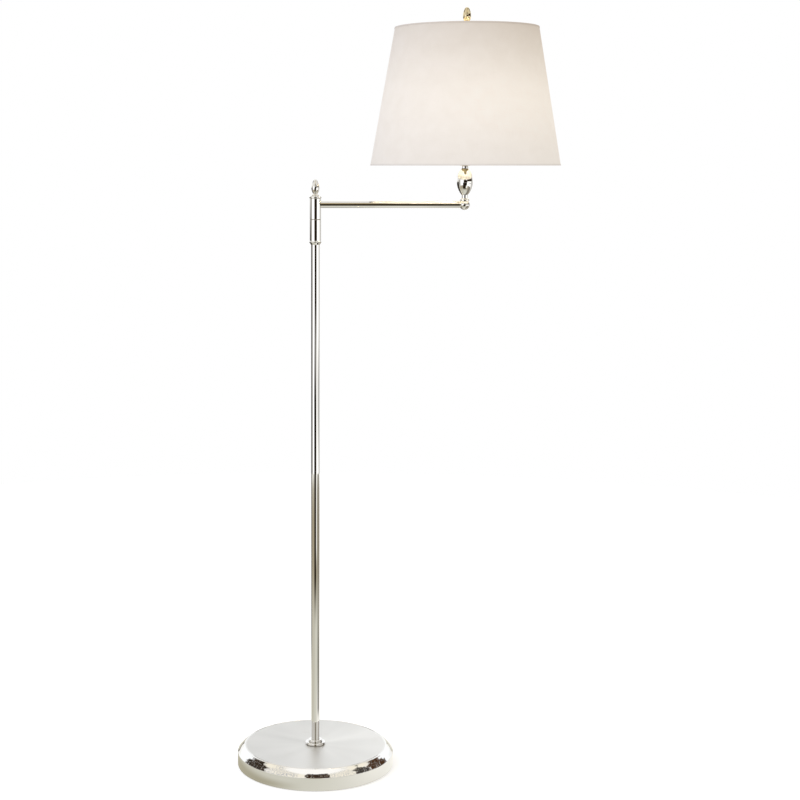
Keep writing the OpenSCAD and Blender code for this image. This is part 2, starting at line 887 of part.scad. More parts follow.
// A strip with an upright post at each end, each with a ledge that its ferrule rests on
module harp_saddle() {
    color("goldenrod")
        translate([arm_reach, 0, saddle_z])
            difference() {
                union() {
                    translate([-saddle_w / 2, -harp_foot_half, 0])
                        cube([saddle_w, 2 * harp_foot_half, saddle_t]);
                    for (side = [-1, 1])
                        translate([0, side * harp_foot_half, 0]) {
                            cylinder(d = saddle_w, h = saddle_t);
                            cylinder(d = harp_wire_d, h = post_top - saddle_z);
                            cylinder(d = ferrule_d, h = ferrule_z - saddle_z);
                        }
                }
                translate([0, 0, -saddle_t])
                    cylinder(d = thread_d, h = 3 * saddle_t);
            }
}

// One wire from post to post, with a flattened eye at its top
module harp_wire() {
    top_half = harp_half - harp_shoulder_r;
    side_h = harp_shoulder_z - harp_side_z;
    color("goldenrod")
        translate([arm_reach, 0, 0])
            difference() {
                union() {
                    translate([0, -harp_foot_half, post_top])
                        rod([
                            [leg_h, harp_bend_r, -harp_angle], [0, harp_bend_r, harp_angle],
                            [side_h, harp_shoulder_r, 90], [2 * top_half, harp_shoulder_r, 90],
                            [side_h, harp_bend_r, harp_angle], [0, harp_bend_r, -harp_angle],
                            [leg_h, 0, 0]
                        ], harp_wire_d);
                    translate([0, 0, harp_eye_z])
                        cylinder(d = harp_eye_d, h = harp_eye_h);
                }
                translate([0, 0, harp_eye_z - harp_wire_d])
                    cylinder(d = harp_shank_d, h = 3 * harp_wire_d);
            }
}

// Shank through the harp's eye, seat for the shade and stud for its finial
module harp_stud() {
    color("goldenrod")
        translate([arm_reach, 0, 0]) {
            translate([0, 0, harp_eye_z])
                cylinder(d = harp_shank_d, h = seat_z - harp_eye_z);
            translate([0, 0, seat_z - seat_t])
                cylinder(d = seat_d, h = seat_t);
            translate([0, 0, seat_z - seat_t])
                cylinder(d = harp_stud_d, h = seat_t + harp_stud_len);
        }
}

// Locks a harp leg to its post; the side is -1 or 1 along Y
module ferrule(side) {
    color("goldenrod")
        translate([arm_reach, side * harp_foot_half, ferrule_z])
            tube(ferrule_d, harp_wire_d + 2 * ferrule_clear, ferrule_len);
}

module ferrule_left() {
    ferrule(1);
}

module ferrule_right() {
    ferrule(-1);
}

// ---------------------------------------------------------------- socket

module socket_cap() {
    color("goldenrod")
        translate([arm_reach, 0, socket_z])
            difference() {
                turned_ring(socket_d, thread_d, socket_cap_h, socket_wall, socket_wall / 3);
                translate([0, 0, 2 * socket_wall])
                    cylinder(d = cap_bore, h = socket_cap_h);
            }
}

// Hole for the switch's stem through the wall of a shell, on the side of the pole
module switch_hole() {
    translate([0, 0, switch_z])
        rotate([0, -90, 0])
            cylinder(d = switch_hole_d, h = socket_d);
}

module socket_shell() {
    color("goldenrod")
        translate([arm_reach, 0, 0])
            difference() {
                translate([0, 0, shell_z])
                    tube(shell_d, shell_bore, shell_len);
                switch_hole();
            }
}

module socket_liner() {
    color("tan")
        translate([arm_reach, 0, 0])
            difference() {
                translate([0, 0, interior_z])
                    tube(liner_d, liner_bore, shell_len - 2 * shell_margin);
                switch_hole();
            }
}

module socket_interior() {
    color("darkslategray")
        translate([arm_reach, 0, 0])
            difference() {
                translate([0, 0, interior_z])
                    cylinder(d = liner_bore - 2 * slip, h = interior_h);
                translate([0, 0, switch_z])
                    rotate([0, -90, 0])
                        cylinder(d = switch_stem_d + 2 * running, h = socket_d);
            }
}

module socket_screw_shell() {
    color("goldenrod")
        translate([arm_reach, 0, interior_top])
            tube(screw_d, screw_bore, screw_h);
}

module socket_contact() {
    color("goldenrod")
        translate([arm_reach, 0, interior_top])
            cylinder(d = contact_d, h = contact_t);
}

// A flat turn key on a round stem that runs to the middle of the insulating body
module switch_knob() {
    color("black")
        translate([arm_reach, 0, switch_z])
            rotate([0, -90, 0]) {
                translate([0, 0, slip])
                    cylinder(d = switch_stem_d, h = knob_x);
                translate([0, 0, knob_x]) {
                    cylinder(d = switch_hole_d, h = switch_knob_len / 4);
                    translate([-switch_knob_w / 2, -switch_knob_t / 2, 0])
                        cube([switch_knob_w, switch_knob_t, switch_knob_len - switch_knob_w / 2]);
                    translate([0, switch_knob_t / 2, switch_knob_len - switch_knob_w / 2])
                        rotate([90, 0, 0])
                            cylinder(d = switch_knob_w, h = switch_knob_t);
                }
            }
}

// ---------------------------------------------------------------- bulb

module bulb_tip() {
    color("silver")
        translate([arm_reach, 0, contact_top])
            cylinder(d = bulb_tip_d, h = bulb_tip_t);
}

module bulb_insulator() {
    color("black")
        translate([arm_reach, 0, tip_top])
            cylinder(d1 = bulb_tip_d, d2 = bulb_base_d - 2 * bulb_base_wall, h = bulb_insulator_h);
}

module bulb_base() {
    color("silver")
        translate([arm_reach, 0, bulb_base_z])
            difference() {
                cylinder(d = bulb_base_d, h = bulb_base_h);
                translate([0, 0, bulb_base_wall])
                    cylinder(r = glass_foot_r, h = bulb_base_h);
            }
}

// Outline of the glass's solid, drawn in by its wall: neck, cone and ball
module bulb_outline(wall) {
    neck_r = bulb_neck_d / 2 - wall;
    neck_top = bulb_base_top + bulb_neck_d / 4;
    ball_wide = bulb_d / 2 - wall;
    to_neck = [neck_r, neck_top - bulb_centre];
    touch = atan2(to_neck[1], to_neck[0]) + acos(ball_wide / norm(to_neck));
    polygon(concat(
        [[0, glass_z - wall], [glass_foot_r - wall, glass_z - wall]],
        [[glass_foot_r - wall, bulb_base_top + slip], [neck_r, neck_top]],
        arc([0, bulb_centre], ball_wide, touch, 90, 24)));
}

module bulb_glass() {
    color("white", 0.6)
        translate([arm_reach, 0, 0])
            rotate_extrude()
                difference() {
                    bulb_outline(0);
                    bulb_outline(bulb_wall);
                }
}

// Glass foot and stem, with the two wires that hold the filament
module bulb_mount() {
    color("lightgray")
        translate([arm_reach, 0, glass_z]) {
            cylinder(r = glass_foot_r - bulb_wall, h = mount_foot_h);
            cylinder(d = bulb_stem_d, h = mount_foot_h + bulb_stem_h);
            for (side = [-1, 1])
                translate([0, side * bulb_stem_d / 4, mount_foot_h + bulb_stem_h - bulb_wire_d])
                    rotate([-side * filament_lean, 0, 0])
                        cylinder(d = bulb_wire_d, h = filament_wire_len);
        }
}

module bulb_filament() {
    color("orange")
        translate([arm_reach, -filament_half, filament_z])
            rotate([-90, 0, 0])
                cylinder(d = bulb_wire_d, h = 2 * filament_half);
}

// ---------------------------------------------------------------- shade

// A round wire bent into a closed ring
module wire_ring(r) {
    rotate_extrude()
        translate([r, 0])
            circle(d = shade_wire_d);
}

module shade_spider() {
    color("goldenrod")
        translate([arm_reach, 0, 0])
            difference() {
                union() {
                    translate([0, 0, ring_z])
                        wire_ring(top_ring_r);
                    translate([0, 0, seat_z])
                        cylinder(d = hub_d, h = hub_t);
                    for (i = [0:spokes - 1])
                        translate([0, 0, ring_z])
                            rotate([0, 0, spoke_turn + i * 360 / spokes])
                                rotate([0, 90, 0])
                                    translate([0, 0, hub_d / 2 - shade_wire_d / 2])
                                        cylinder(d = shade_wire_d,
                                                 h = top_ring_r - hub_d / 2 + shade_wire_d / 2);
                }
                translate([0, 0, seat_z - hub_t])
                    cylinder(d = harp_stud_d + 4 * slip, h = 3 * hub_t);
            }
}

module shade_bottom_ring() {
    color("white")
        translate([arm_reach, 0, low_ring_z])
            wire_ring(low_ring_r);
}

// A conical skin between two heights; it lies between two depths under the shade's outer face
module shade_skin(z0, z1, outer, inner) {
    translate([arm_reach, 0, 0])
        rotate_extrude()
            polygon([
                [shade_r(z0) - inner, z0], [shade_r(z0) - outer, z0],
                [shade_r(z1) - outer, z1], [shade_r(z1) - inner, z1]
            ]);
}

module shade_panel() {
    color("linen")
        shade_skin(shade_z + hem_t, shade_top - hem_t, hem_t, hem_t + panel_t);
}

module shade_hem_top() {
    color("antiquewhite") {
        shade_skin(shade_top - hem_h, shade_top, 0, hem_t);
        shade_skin(shade_top - hem_t, shade_top, 0, hem_t + panel_t);
    }
}

module shade_hem_bottom() {
    color("antiquewhite") {
        shade_skin(shade_z, shade_z + hem_h, 0, hem_t);
        shade_skin(shade_z, shade_z + hem_t, 0, hem_t + panel_t);
    }
}

// Its foot clamps the spider's hub, and the harp's stud screws into its blind bore
module shade_finial() {
    foot = finial_foot_d / 2;
    neck = finial_neck_d / 2;
    cove = min(finial_stem_h / 2, foot - finial_foot_h / 2 - neck);
    color("gainsboro")
        translate([arm_reach, 0, seat_z + hub_t])
            difference() {
                union() {
                    rotate_extrude()
                        polygon(concat(
                            [[0, 0]],
                            arc([foot - finial_foot_h / 2, finial_foot_h / 2], finial_foot_h / 2, -90, 90),
                            arc([neck + cove, finial_foot_h + cove], cove, -90, -180),
                            [[neck, finial_foot_h + finial_stem_h]],
                            [[0, finial_foot_h + finial_stem_h]]));
                    translate([0, 0, finial_foot_h + finial_stem_h])
                        finial_egg();
                }
                translate([0, 0, -hub_t])
                    cylinder(d = harp_stud_d + 2 * slip, h = harp_stud_len + 2 * slip);
            }
}

// ---------------------------------------------------------------- leads

// From the cord inlet along the base, and up the pole to the pivot
module pole_lead() {
    foot_bend = foot_thread_z - inlet_z;
    color("ivory")
        translate([0, lead_start, inlet_z])
            rotate([90, 0, 0])
                rod([
                    [lead_start - foot_bend, foot_bend, 90],
                    [pivot_nut_z - foot_thread_z, 0, 0]
                ], lead_d);
}

// From the pivot through the arm, and up the head to the socket
module arm_lead() {
    lead_foot = pivot_nut_z + lead_gap;
    color("ivory")
        translate([0, 0, lead_foot])
            rotate([0, 0, -90])
                rod([
                    [spindle_top - lead_foot, head_bend, 90],
                    [arm_reach - end_bend - head_bend, end_bend, -90],
                    [interior_z - head_thread_z, 0, 0]
                ], lead_d);
}

base_felt();
base_weight();
base_cover();
base_washer();
base_nut();
cord_bushing();
foot_nipple();
foot_flange();
foot_collar();
pole_foot_plug();
pole_tube();
pole_top_plug();
lower_collar();
stop_pin();
thrust_washer();
pivot_spindle();
spring_washer();
pivot_nut();
swing_sleeve();
bush_lower();
bush_upper();
sleeve_cap();
pole_finial();
arm_tube();
arm_end_ball();
ball_disc();
stem_ring();
egg_body();
neck_ring();
head_nipple();
harp_saddle();
harp_wire();
harp_stud();
ferrule_left();
ferrule_right();
socket_cap();
socket_shell();
socket_liner();
socket_interior();
socket_screw_shell();
socket_contact();
switch_knob();
bulb_tip();
bulb_insulator();
bulb_base();
bulb_glass();
bulb_mount();
bulb_filament();
shade_spider();
shade_bottom_ring();
shade_panel();
shade_hem_top();
shade_hem_bottom();
shade_finial();
pole_lead();
arm_lead();
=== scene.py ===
import math
from functools import wraps

import bpy
from bpy.props import FloatProperty, FloatVectorProperty, IntProperty, PointerProperty
from bpy.types import Operator, Panel, PropertyGroup
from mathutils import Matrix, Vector


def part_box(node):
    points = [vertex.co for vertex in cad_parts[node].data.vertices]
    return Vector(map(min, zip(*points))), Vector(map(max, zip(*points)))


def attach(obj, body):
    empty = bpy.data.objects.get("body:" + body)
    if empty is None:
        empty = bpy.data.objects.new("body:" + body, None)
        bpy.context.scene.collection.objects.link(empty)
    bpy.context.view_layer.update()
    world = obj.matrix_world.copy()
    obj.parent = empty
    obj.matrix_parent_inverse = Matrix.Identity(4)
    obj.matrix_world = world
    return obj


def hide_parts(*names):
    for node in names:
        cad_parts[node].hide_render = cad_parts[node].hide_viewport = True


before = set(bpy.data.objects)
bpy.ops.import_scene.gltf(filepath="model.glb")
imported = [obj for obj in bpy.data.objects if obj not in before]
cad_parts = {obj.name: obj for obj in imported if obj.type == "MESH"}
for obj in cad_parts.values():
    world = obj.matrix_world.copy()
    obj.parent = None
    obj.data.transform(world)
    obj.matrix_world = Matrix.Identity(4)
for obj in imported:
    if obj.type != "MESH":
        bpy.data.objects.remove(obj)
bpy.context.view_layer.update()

bl_info = {
    "name": "Bridge Floor Lamp",
    "version": (1, 0, 0),
    "blender": (4, 5, 0),
    "location": "View3D > Sidebar > Bridge Lamp",
    "description": "Dresses the packed bridge floor lamp in its turned, sewn and glazed pieces",
    "category": "Object",
}

MM = 0.001


def low(name, axis):
    """Lowest place of a CAD node along x, y or z."""
    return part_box(name)[0]["xyz".index(axis)]


def high(name, axis):
    """Highest place of a CAD node along x, y or z."""
    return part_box(name)[1]["xyz".index(axis)]


def span(name, axis="z"):
    """Lowest and highest place of a CAD node along an axis."""
    return low(name, axis), high(name, axis)


def middle(name, axis):
    """Middle of a CAD node along an axis."""
    return (low(name, axis) + high(name, axis)) / 2


def half(name, axis="y"):
    """Half of a CAD node's width along an axis, which is a turned piece's radius."""
    return (high(name, axis) - low(name, axis)) / 2


# Places that several pieces share
HEAD_X = middle("socket_cap", "x")
ARM_Z = middle("arm_tube", "z")
POLE_AXIS = (0, 0, 0)
HEAD_AXIS = (HEAD_X, 0, 0)
ARM_AXIS = (0, 0, ARM_Z)
THREAD_R = half("head_nipple")
TUBE_WALL = 1.2 * MM
POLE_BORE = 8.05 * MM
BULB_Z = high("bulb_glass", "z") - half("bulb_glass")
BULB_PLACE = (HEAD_X, 0, BULB_Z)
# The finials' egg, for egg_path
FINIAL = {"wide": 7.6 * MM, "neck": 4.5 * MM, "low_h": 11 * MM, "tip_h": 10.2 * MM, "tip_r": 5 * MM}

# Points closer than this are one
WELD = 0.01 * MM
# Faces that meet at less than this are shaded as one surface
SMOOTH_ANGLE = math.radians(32)
# Plain run beside a rounded corner
HOLD = 0.25 * MM
# Degrees in a radian
DEGREES = 180 / math.pi


# ---------------- sizes and colours


class LampShapes(PropertyGroup):
    """Sizes that the dressed pieces add to the solids' own."""

    steps_wide: IntProperty(
        name="Steps round the base", description="Faces round the base cover and the shade",
        default=256, min=48, max=512)
    steps: IntProperty(
        name="Steps round a turned piece", description="Faces round each smaller turned piece",
        default=96, min=24, max=256)
    edge: FloatProperty(
        name="Broken edge", description="Rounding left on an edge that looks sharp",
        default=0.3 * MM, min=0.05 * MM, max=1 * MM, unit="LENGTH", precision=5)
    shoulder: FloatProperty(
        name="Base shoulder", description="Rounding between the base's sloping band and its top",
        default=3.4 * MM, min=0.5 * MM, max=5 * MM, unit="LENGTH", precision=5)
    crease: FloatProperty(
        name="Base crease", description="Rounding between the base's wall and its sloping band",
        default=1.0 * MM, min=0.1 * MM, max=3 * MM, unit="LENGTH", precision=5)
    band_bow: FloatProperty(
        name="Band's bow", description="How far the base's sloping band stands proud of a straight slope",
        default=0.5 * MM, min=0, max=2 * MM, unit="LENGTH", precision=5)
    seam_width: FloatProperty(
        name="Shade seam", description="Width of the strip that covers the shade's seam",
        default=10 * MM, min=4 * MM, max=20 * MM, unit="LENGTH", precision=4)
    weave: FloatProperty(
        name="Weave", description="Distance between threads of the shade's linen",
        default=0.55 * MM, min=0.2 * MM, max=2 * MM, unit="LENGTH", precision=5)


class LampFinishes(PropertyGroup):
    """Colours of the lamp's finishes, and how bright it is lit."""

    nickel: FloatVectorProperty(
        name="Polished nickel", description="Colour that polished nickel reflects",
        subtype="COLOR", default=(0.79, 0.782, 0.762), min=0, max=1)
    brass: FloatVectorProperty(
        name="Brass", description="Colour of the harp, spider and lampholder",
        subtype="COLOR", default=(0.76, 0.60, 0.34), min=0, max=1)
    linen: FloatVectorProperty(
        name="Linen", description="Colour of the shade's linen",
        subtype="COLOR", default=(0.70, 0.635, 0.575), min=0, max=1)
    lining: FloatVectorProperty(
        name="Lining", description="Colour of the shade's lining",
        subtype="COLOR", default=(0.70, 0.66, 0.565), min=0, max=1)
    felt: FloatVectorProperty(
        name="Felt", description="Colour of the felt under the base",
        subtype="COLOR", default=(0.035, 0.036, 0.038), min=0, max=1)
    glow: FloatVectorProperty(
        name="Glow", description="Colour of the lit bulb's light through the linen",
        subtype="COLOR", default=(1.0, 0.95, 0.84), min=0, max=1)
    bulb: FloatProperty(
        name="Bulb", description="How bright the lit bulb's glass is",
        default=9, min=0, max=60)


class LampStage(PropertyGroup):
    """The camera and the studio."""

    distance: FloatProperty(
        name="Distance", description="From the pole's axis to the camera",
        default=3.081, min=1, max=10, unit="LENGTH")
    height: FloatProperty(
        name="Height", description="Height of the camera above the floor",
        default=1.1656, min=0, max=3, unit="LENGTH")
    pitch: FloatProperty(
        name="Pitch", description="How far the camera looks down",
        default=math.radians(8.19), min=0, max=math.radians(60), subtype="ANGLE")
    lens: FloatProperty(
        name="Lens", description="Focal length of the camera in millimetres",
        default=73.35, min=20, max=200)
    shift: FloatProperty(
        name="Shift", description="Sideways shift of the frame, as a share of its width",
        default=0.10575, min=-0.5, max=0.5)
    floor_radius: FloatProperty(
        name="Floor", description="Radius of the floor",
        default=3.05, min=1, max=10, unit="LENGTH")
    light: FloatVectorProperty(
        name="Room light", description="Colour and strength of the light from all round",
        subtype="COLOR", default=(0.80, 0.768, 0.715), min=0, max=2)


# ---------------- paths


def arc(r, z, radius, start, end, steps=8):
    """Points on an arc round (r, z), from one angle to another in degrees."""
    angles = (math.radians(start + (end - start) * i / steps) for i in range(steps + 1))
    return [(r + radius * math.cos(a), z + radius * math.sin(a)) for a in angles]


def bowed(a, b, bow, steps=10):
    """Points between a and b on a line that stands proud to its right by bow at the middle."""
    (ar, az), (br, bz) = a, b
    length = math.hypot(br - ar, bz - az)
    out_r, out_z = (bz - az) / length, (ar - br) / length
    return [
        (ar + (br - ar) * t + out_r * bow * 4 * t * (1 - t),
         az + (bz - az) * t + out_z * bow * 4 * t * (1 - t))
        for t in (i / steps for i in range(1, steps))
    ]


def rounded(corners, closed=True):
    """The path through corners (r, z) or (r, z, rounding). Each rounded corner becomes an arc, with a
    ring beside each end of it that keeps its shading off the straight runs."""
    path = []
    count = len(corners)
    for i, (r, z, *rounding) in enumerate(corners):
        here = Vector((r, z))
        if not rounding or (not closed and i in (0, count - 1)):
            path.append((r, z))
            continue
        radius = rounding[0]
        before = Vector(corners[i - 1][:2]) - here
        after = Vector(corners[(i + 1) % count][:2]) - here
        angle = before.angle(after)
        reach = radius / math.tan(angle / 2)
        inward = (before.normalized() + after.normalized()).normalized()
        centre = here + inward * radius / math.sin(angle / 2)
        start = here + before.normalized() * reach
        end = here + after.normalized() * reach
        if before.length > 2 * (reach + HOLD):
            path.append(tuple(start + before.normalized() * HOLD))
        steps = max(3, round(math.degrees(math.pi - angle) / 12))
        first = start - centre
        sweep = -first.angle_signed(end - centre)
        for k in range(steps + 1):
            cosine, sine = math.cos(sweep * k / steps), math.sin(sweep * k / steps)
            path.append((centre.x + first.x * cosine - first.y * sine,
                         centre.y + first.x * sine + first.y * cosine))
        if after.length > 2 * (reach + HOLD):
            path.append(tuple(end + after.normalized() * HOLD))
    return path


def ring_path(name, bore, low_edge, top_edge):
    """A ring of a CAD node's size, with its outer edges rounded and its bore left plain."""
    (z0, z1), outer = span(name), half(name)
    return rounded([(bore, z0), (outer, z0, low_edge), (outer, z1, top_edge), (bore, z1)])


def egg_path(z, wide, neck, low_h, tip_h, tip_r):
    """Outline of a finial's egg from its neck at height z up to its tip."""
    steps = 14
    low_r = ((wide - neck) ** 2 + low_h ** 2) / (2 * (wide - neck))
    side_r = (wide * wide + tip_h * tip_h - tip_r * tip_r) / (2 * (wide - tip_r))
    meet = math.degrees(math.atan2(tip_h, side_r - wide))
    return [
        *arc(wide - low_r, z + low_h, low_r, -math.degrees(math.asin(low_h / low_r)), 0, steps),
        *arc(wide - side_r, z + low_h, side_r, 0, meet, steps)[1:],
        *arc(0, z + low_h + tip_h, tip_r, meet, 90, steps)[1:-1],
        (0, z + low_h + tip_h + tip_r),
    ]


# ---------------- modelling


def pick_up(*pieces):
    """Leaves edit mode and selects only these pieces, the first as the active one, so that the next
    operator acts on nothing else."""
    if bpy.context.object and bpy.context.object.mode != "OBJECT":
        bpy.ops.object.mode_set(mode="OBJECT")
    bpy.ops.object.select_all(action="DESELECT")
    for piece in reversed(pieces):
        piece.select_set(True)
        bpy.context.view_layer.objects.active = piece


def weld():
    """Joins the points of the piece in edit mode that lie on each other."""
    bpy.ops.mesh.select_all(action="SELECT")
    bpy.ops.mesh.remove_doubles(threshold=WELD)


def start_path(name, at):
    """A new piece that is one point in edit mode, at its place in the lamp."""
    pick_up()
    bpy.ops.mesh.primitive_plane_add(size=MM, location=at)
    piece = bpy.context.object
    piece.name = piece.data.name = name
    bpy.ops.object.transform_apply()
    bpy.ops.object.mode_set(mode="EDIT")
    bpy.ops.mesh.select_mode(type="VERT")
    bpy.ops.mesh.select_all(action="SELECT")
    bpy.ops.mesh.merge(type="CENTER")
    return piece


def finish_mesh(piece):
    """Closes a piece's seams, turns its faces outwards and smooths it up to its real edges."""
    bpy.ops.object.mode_set(mode="EDIT")
    weld()
    bpy.ops.mesh.normals_make_consistent(inside=False)
    bpy.ops.object.mode_set(mode="OBJECT")
    bpy.ops.object.shade_smooth_by_angle(angle=SMOOTH_ANGLE)
    if not piece.data.polygons:
        raise RuntimeError(f"{piece.name} has no faces")
    return piece


def turn(name, path, axis=POLE_AXIS, along="Z", closed=True, steps=None, sweep=360):
    """Turns a path of (radius, place along the axis) points round an axis, as on a lathe."""

    def place(point):
        r, h = point
        return Vector((h, axis[1], axis[2] + r)) if along == "X" else Vector((axis[0] + r, axis[1], h))

    piece = start_path(name, place(path[0]))
    stops = [*path, path[0]] if closed else path
    for a, b in zip(stops, stops[1:]):
        bpy.ops.mesh.extrude_vertices_move(TRANSFORM_OT_translate={"value": place(b) - place(a)})
    weld()
    bpy.ops.mesh.spin(steps=steps or bpy.context.scene.lamp_shapes.steps, angle=math.radians(sweep),
                      center=axis, axis=(1, 0, 0) if along == "X" else (0, 0, 1))
    if sweep < 360:
        weld()
        bpy.ops.mesh.fill_holes(sides=0)
    return finish_mesh(piece)


def work(piece, kind, **settings):
    """Adds a modifier to a piece and applies it."""
    pick_up(piece)
    modifier = piece.modifiers.new(kind.lower(), kind)
    for name, value in settings.items():
        setattr(modifier, name, value)
    bpy.ops.object.modifier_apply(modifier=modifier.name)


def drill(piece, diameter, length, centre, turned, sides):
    """Cuts a round hole into a piece."""
    pick_up()
    bpy.ops.mesh.primitive_cylinder_add(vertices=sides, radius=diameter / 2, depth=length,
                                        location=centre, rotation=turned)
    bpy.ops.object.transform_apply()
    cutter = bpy.context.object
    work(piece, "BOOLEAN", operation="DIFFERENCE", solver="EXACT", object=cutter)
    bpy.data.objects.remove(cutter)
    finish_mesh(piece)


def unwrap(piece, lay):
    """A UV map in metres. lay gives a corner's place on the flat cloth from its angle round the head's
    axis, which is 0 at the front, and its height."""
    mesh = piece.data
    layer = mesh.uv_layers.new(name="cloth").data
    for face in mesh.polygons:
        centre = math.atan2(face.center.x - HEAD_X, -face.center.y)
        for loop in face.loop_indices:
            p = mesh.vertices[mesh.loops[loop].vertex_index].co
            angle = math.atan2(p.x - HEAD_X, -p.y)
            angle += round((centre - angle) / math.tau) * math.tau
            layer[loop].uv = lay(angle, p.z)


def dress(piece, body, slot, *materials, replaces=()):
    """Gives a finished piece its materials and its body, and hides the CAD nodes that it stands for."""
    piece.data.materials.clear()
    for material in materials:
        piece.data.materials.append(material)
    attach(piece, body)
    if replaces:
        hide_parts(*replaces)
    return piece


def plated(name, made, path, finish, axis=HEAD_AXIS, body="swing_arm", **how):
    """Turns the nickel-plated piece that stands for a CAD node; made says how it was made."""
    piece = turn(f"{name}_{made}", path, axis, **how)
    return dress(piece, body, "polished_nickel", finish, replaces=[name])


# ---------------- nodes


class Signal:
    """One output of a shader node. Arithmetic on it adds Math nodes to its tree."""

    def __init__(self, tree, socket):
        self.tree, self.socket = tree, socket

    def __add__(self, other):
        return maths("ADD", self, other)

    def __sub__(self, other):
        return maths("SUBTRACT", self, other)

    def __rsub__(self, other):
        return maths("SUBTRACT", other, self)

    def __mul__(self, other):
        return maths("MULTIPLY", self, other)

    def __truediv__(self, other):
        return maths("DIVIDE", self, other)

    def __rtruediv__(self, other):
        return maths("DIVIDE", other, self)


def feed(socket, value):
    """Gives an input a signal or a plain value; None leaves it as it is."""
    if isinstance(value, Signal):
        value.tree.links.new(value.socket, socket)
    elif value is not None:
        socket.default_value = value


def node(tree, kind, inputs=(), **settings):
    """A shader node. Inputs are values or signals, by name or in order."""
    made = tree.nodes.new("ShaderNode" + kind)
    for name, value in settings.items():
        setattr(made, name, value)
    for key, value in inputs.items() if isinstance(inputs, dict) else enumerate(inputs):
        feed(made.inputs[key], value)
    return made


def signal(tree, kind, inputs=(), out=0, **settings):
    """One output of a new shader node."""
    return Signal(tree, node(tree, kind, inputs, **settings).outputs[out])


def maths(operation, *values, kind="Math", out=0):
    """The result of one Math or Vector Math node, in the tree of the values' signals."""
    tree = next(value.tree for value in values if isinstance(value, Signal))
    return signal(tree, kind, values, out, operation=operation)


def vectors(operation, *values, out=0):
    """The result of one Vector Math node."""
    return maths(operation, *values, kind="VectorMath", out=out)


def lamplight(colour, strength):
    """Light of a colour, as strong as a signal says."""
    return vectors("SCALE", colour, None, None, strength)


def remap(value, from_low, from_high, to_low=0.0, to_high=1.0, how="LINEAR"):
    """A value moved from one range to another, and held within it."""
    return signal(value.tree, "MapRange", (value, from_low, from_high, to_low, to_high),
                  interpolation_type=how)


def fade(value, from_low, from_high, to_low=0.0, to_high=1.0):
    """The same with soft ends."""
    return remap(value, from_low, from_high, to_low, to_high, "SMOOTHSTEP")


def blend(factor, a, b, how="MIX"):
    """The colour of one Mix node; a and b are colours or signals."""
    made = node(factor.tree, "Mix", [factor], data_type="RGBA", blend_type=how)
    for key, value in ((6, a), (7, b)):
        feed(made.inputs[key], value if isinstance(value, Signal) else (*value[:3], 1))
    return Signal(factor.tree, made.outputs[2])


def layered(tone, *layers):
    """A colour under layers, each with how much it covers and its own colour."""
    for cover, colour in layers:
        tone = blend(cover, tone, colour)
    return tone


def toned(colour, by, plus=0.0):
    """A colour made brighter or darker."""
    return tuple(min(1, by * v + plus) for v in colour)


def noise(place, scale, detail, roughness=0.5, distortion=0.0):
    """The value of a Noise texture."""
    return signal(place.tree, "TexNoise", {"Vector": place, "Scale": scale, "Detail": detail,
                                           "Roughness": roughness, "Distortion": distortion})


def axes(place):
    """The three parts of a vector."""
    parts = node(place.tree, "SeparateXYZ", [place]).outputs
    return [Signal(place.tree, part) for part in parts]


def joined(x, y, z):
    """A vector of three parts, of which the first is a signal."""
    return signal(x.tree, "CombineXYZ", (x, y, z))


def turned_place(place):
    """Radius, angle and height of a place whose Z runs along the turned piece's axis."""
    x, y, z = axes(place)
    return maths("SQRT", x * x + y * y), maths("ARCTAN2", y, x), z


def own_place(tree):
    """The piece's Object coordinates."""
    return signal(tree, "TexCoord", out="Object")


def own_cloth(tree):
    """The piece's own UV map, in metres of flat cloth."""
    return signal(tree, "UVMap", uv_map="cloth")


def ray(tree, kind):
    """1 for rays of a kind."""
    return signal(tree, "LightPath", out=f"Is {kind} Ray")


def bump(height, distance, strength=1.0):
    """The normal from a bump of that height, in metres."""
    return signal(height.tree, "Bump", {"Strength": strength, "Distance": distance, "Height": height})


def arrange(tree):
    """Sets a tree's nodes in columns, from its output back to its inputs."""
    column = {n: 0 for n in tree.nodes}
    for _ in tree.nodes:
        for link in tree.links:
            column[link.from_node] = max(column[link.from_node], column[link.to_node] + 1)
    rows = {}
    for n in tree.nodes:
        rows[column[n]] = rows.get(column[n], 0) + 1
        n.location = (-240 * column[n], -260 * rows[column[n]])


# ---------------- effects


def effect(*outputs, **inputs):
    """Turns a function of signals into a node group, which is made once. Called with a tree, it adds a
    node that holds the group and gives its outputs. inputs are the defaults; None is for a vector."""

    def label(name):
        return name.replace("_", " ").capitalize()

    def kind(default):
        if isinstance(default, float):
            return "NodeSocketFloat"
        return "NodeSocketColor" if default and len(default) == 4 else "NodeSocketVector"

    def decorate(build):
        def make():
            tree = bpy.data.node_groups.new(build.__name__, "ShaderNodeTree")
            for name, default in inputs.items():
                socket = tree.interface.new_socket(label(name), in_out="INPUT", socket_type=kind(default))
                if default is not None:
                    socket.default_value = default
            for name in outputs:
                tree.interface.new_socket(name, in_out="OUTPUT", socket_type="NodeSocketColor"
                                          if name == "Colour" else "NodeSocketFloat")
            start, end = tree.nodes.new("NodeGroupInput"), tree.nodes.new("NodeGroupOutput")
            found = build(tree, *(Signal(tree, start.outputs[label(name)]) for name in inputs))
            for name, value in zip(outputs, found if len(outputs) > 1 else [found]):
                feed(end.inputs[name], value)
            arrange(tree)
            return tree

        @wraps(build)
        def use(tree, *given, **named):
            held = tree.nodes.new("ShaderNodeGroup")
            held.node_tree = bpy.data.node_groups.get(build.__name__) or make()
            for name, value in {**dict(zip(inputs, given)), **named}.items():
                feed(held.inputs[label(name)], value)
            found = [Signal(tree, held.outputs[name]) for name in outputs]
            return found if len(outputs) > 1 else found[0]

        return use

    return decorate


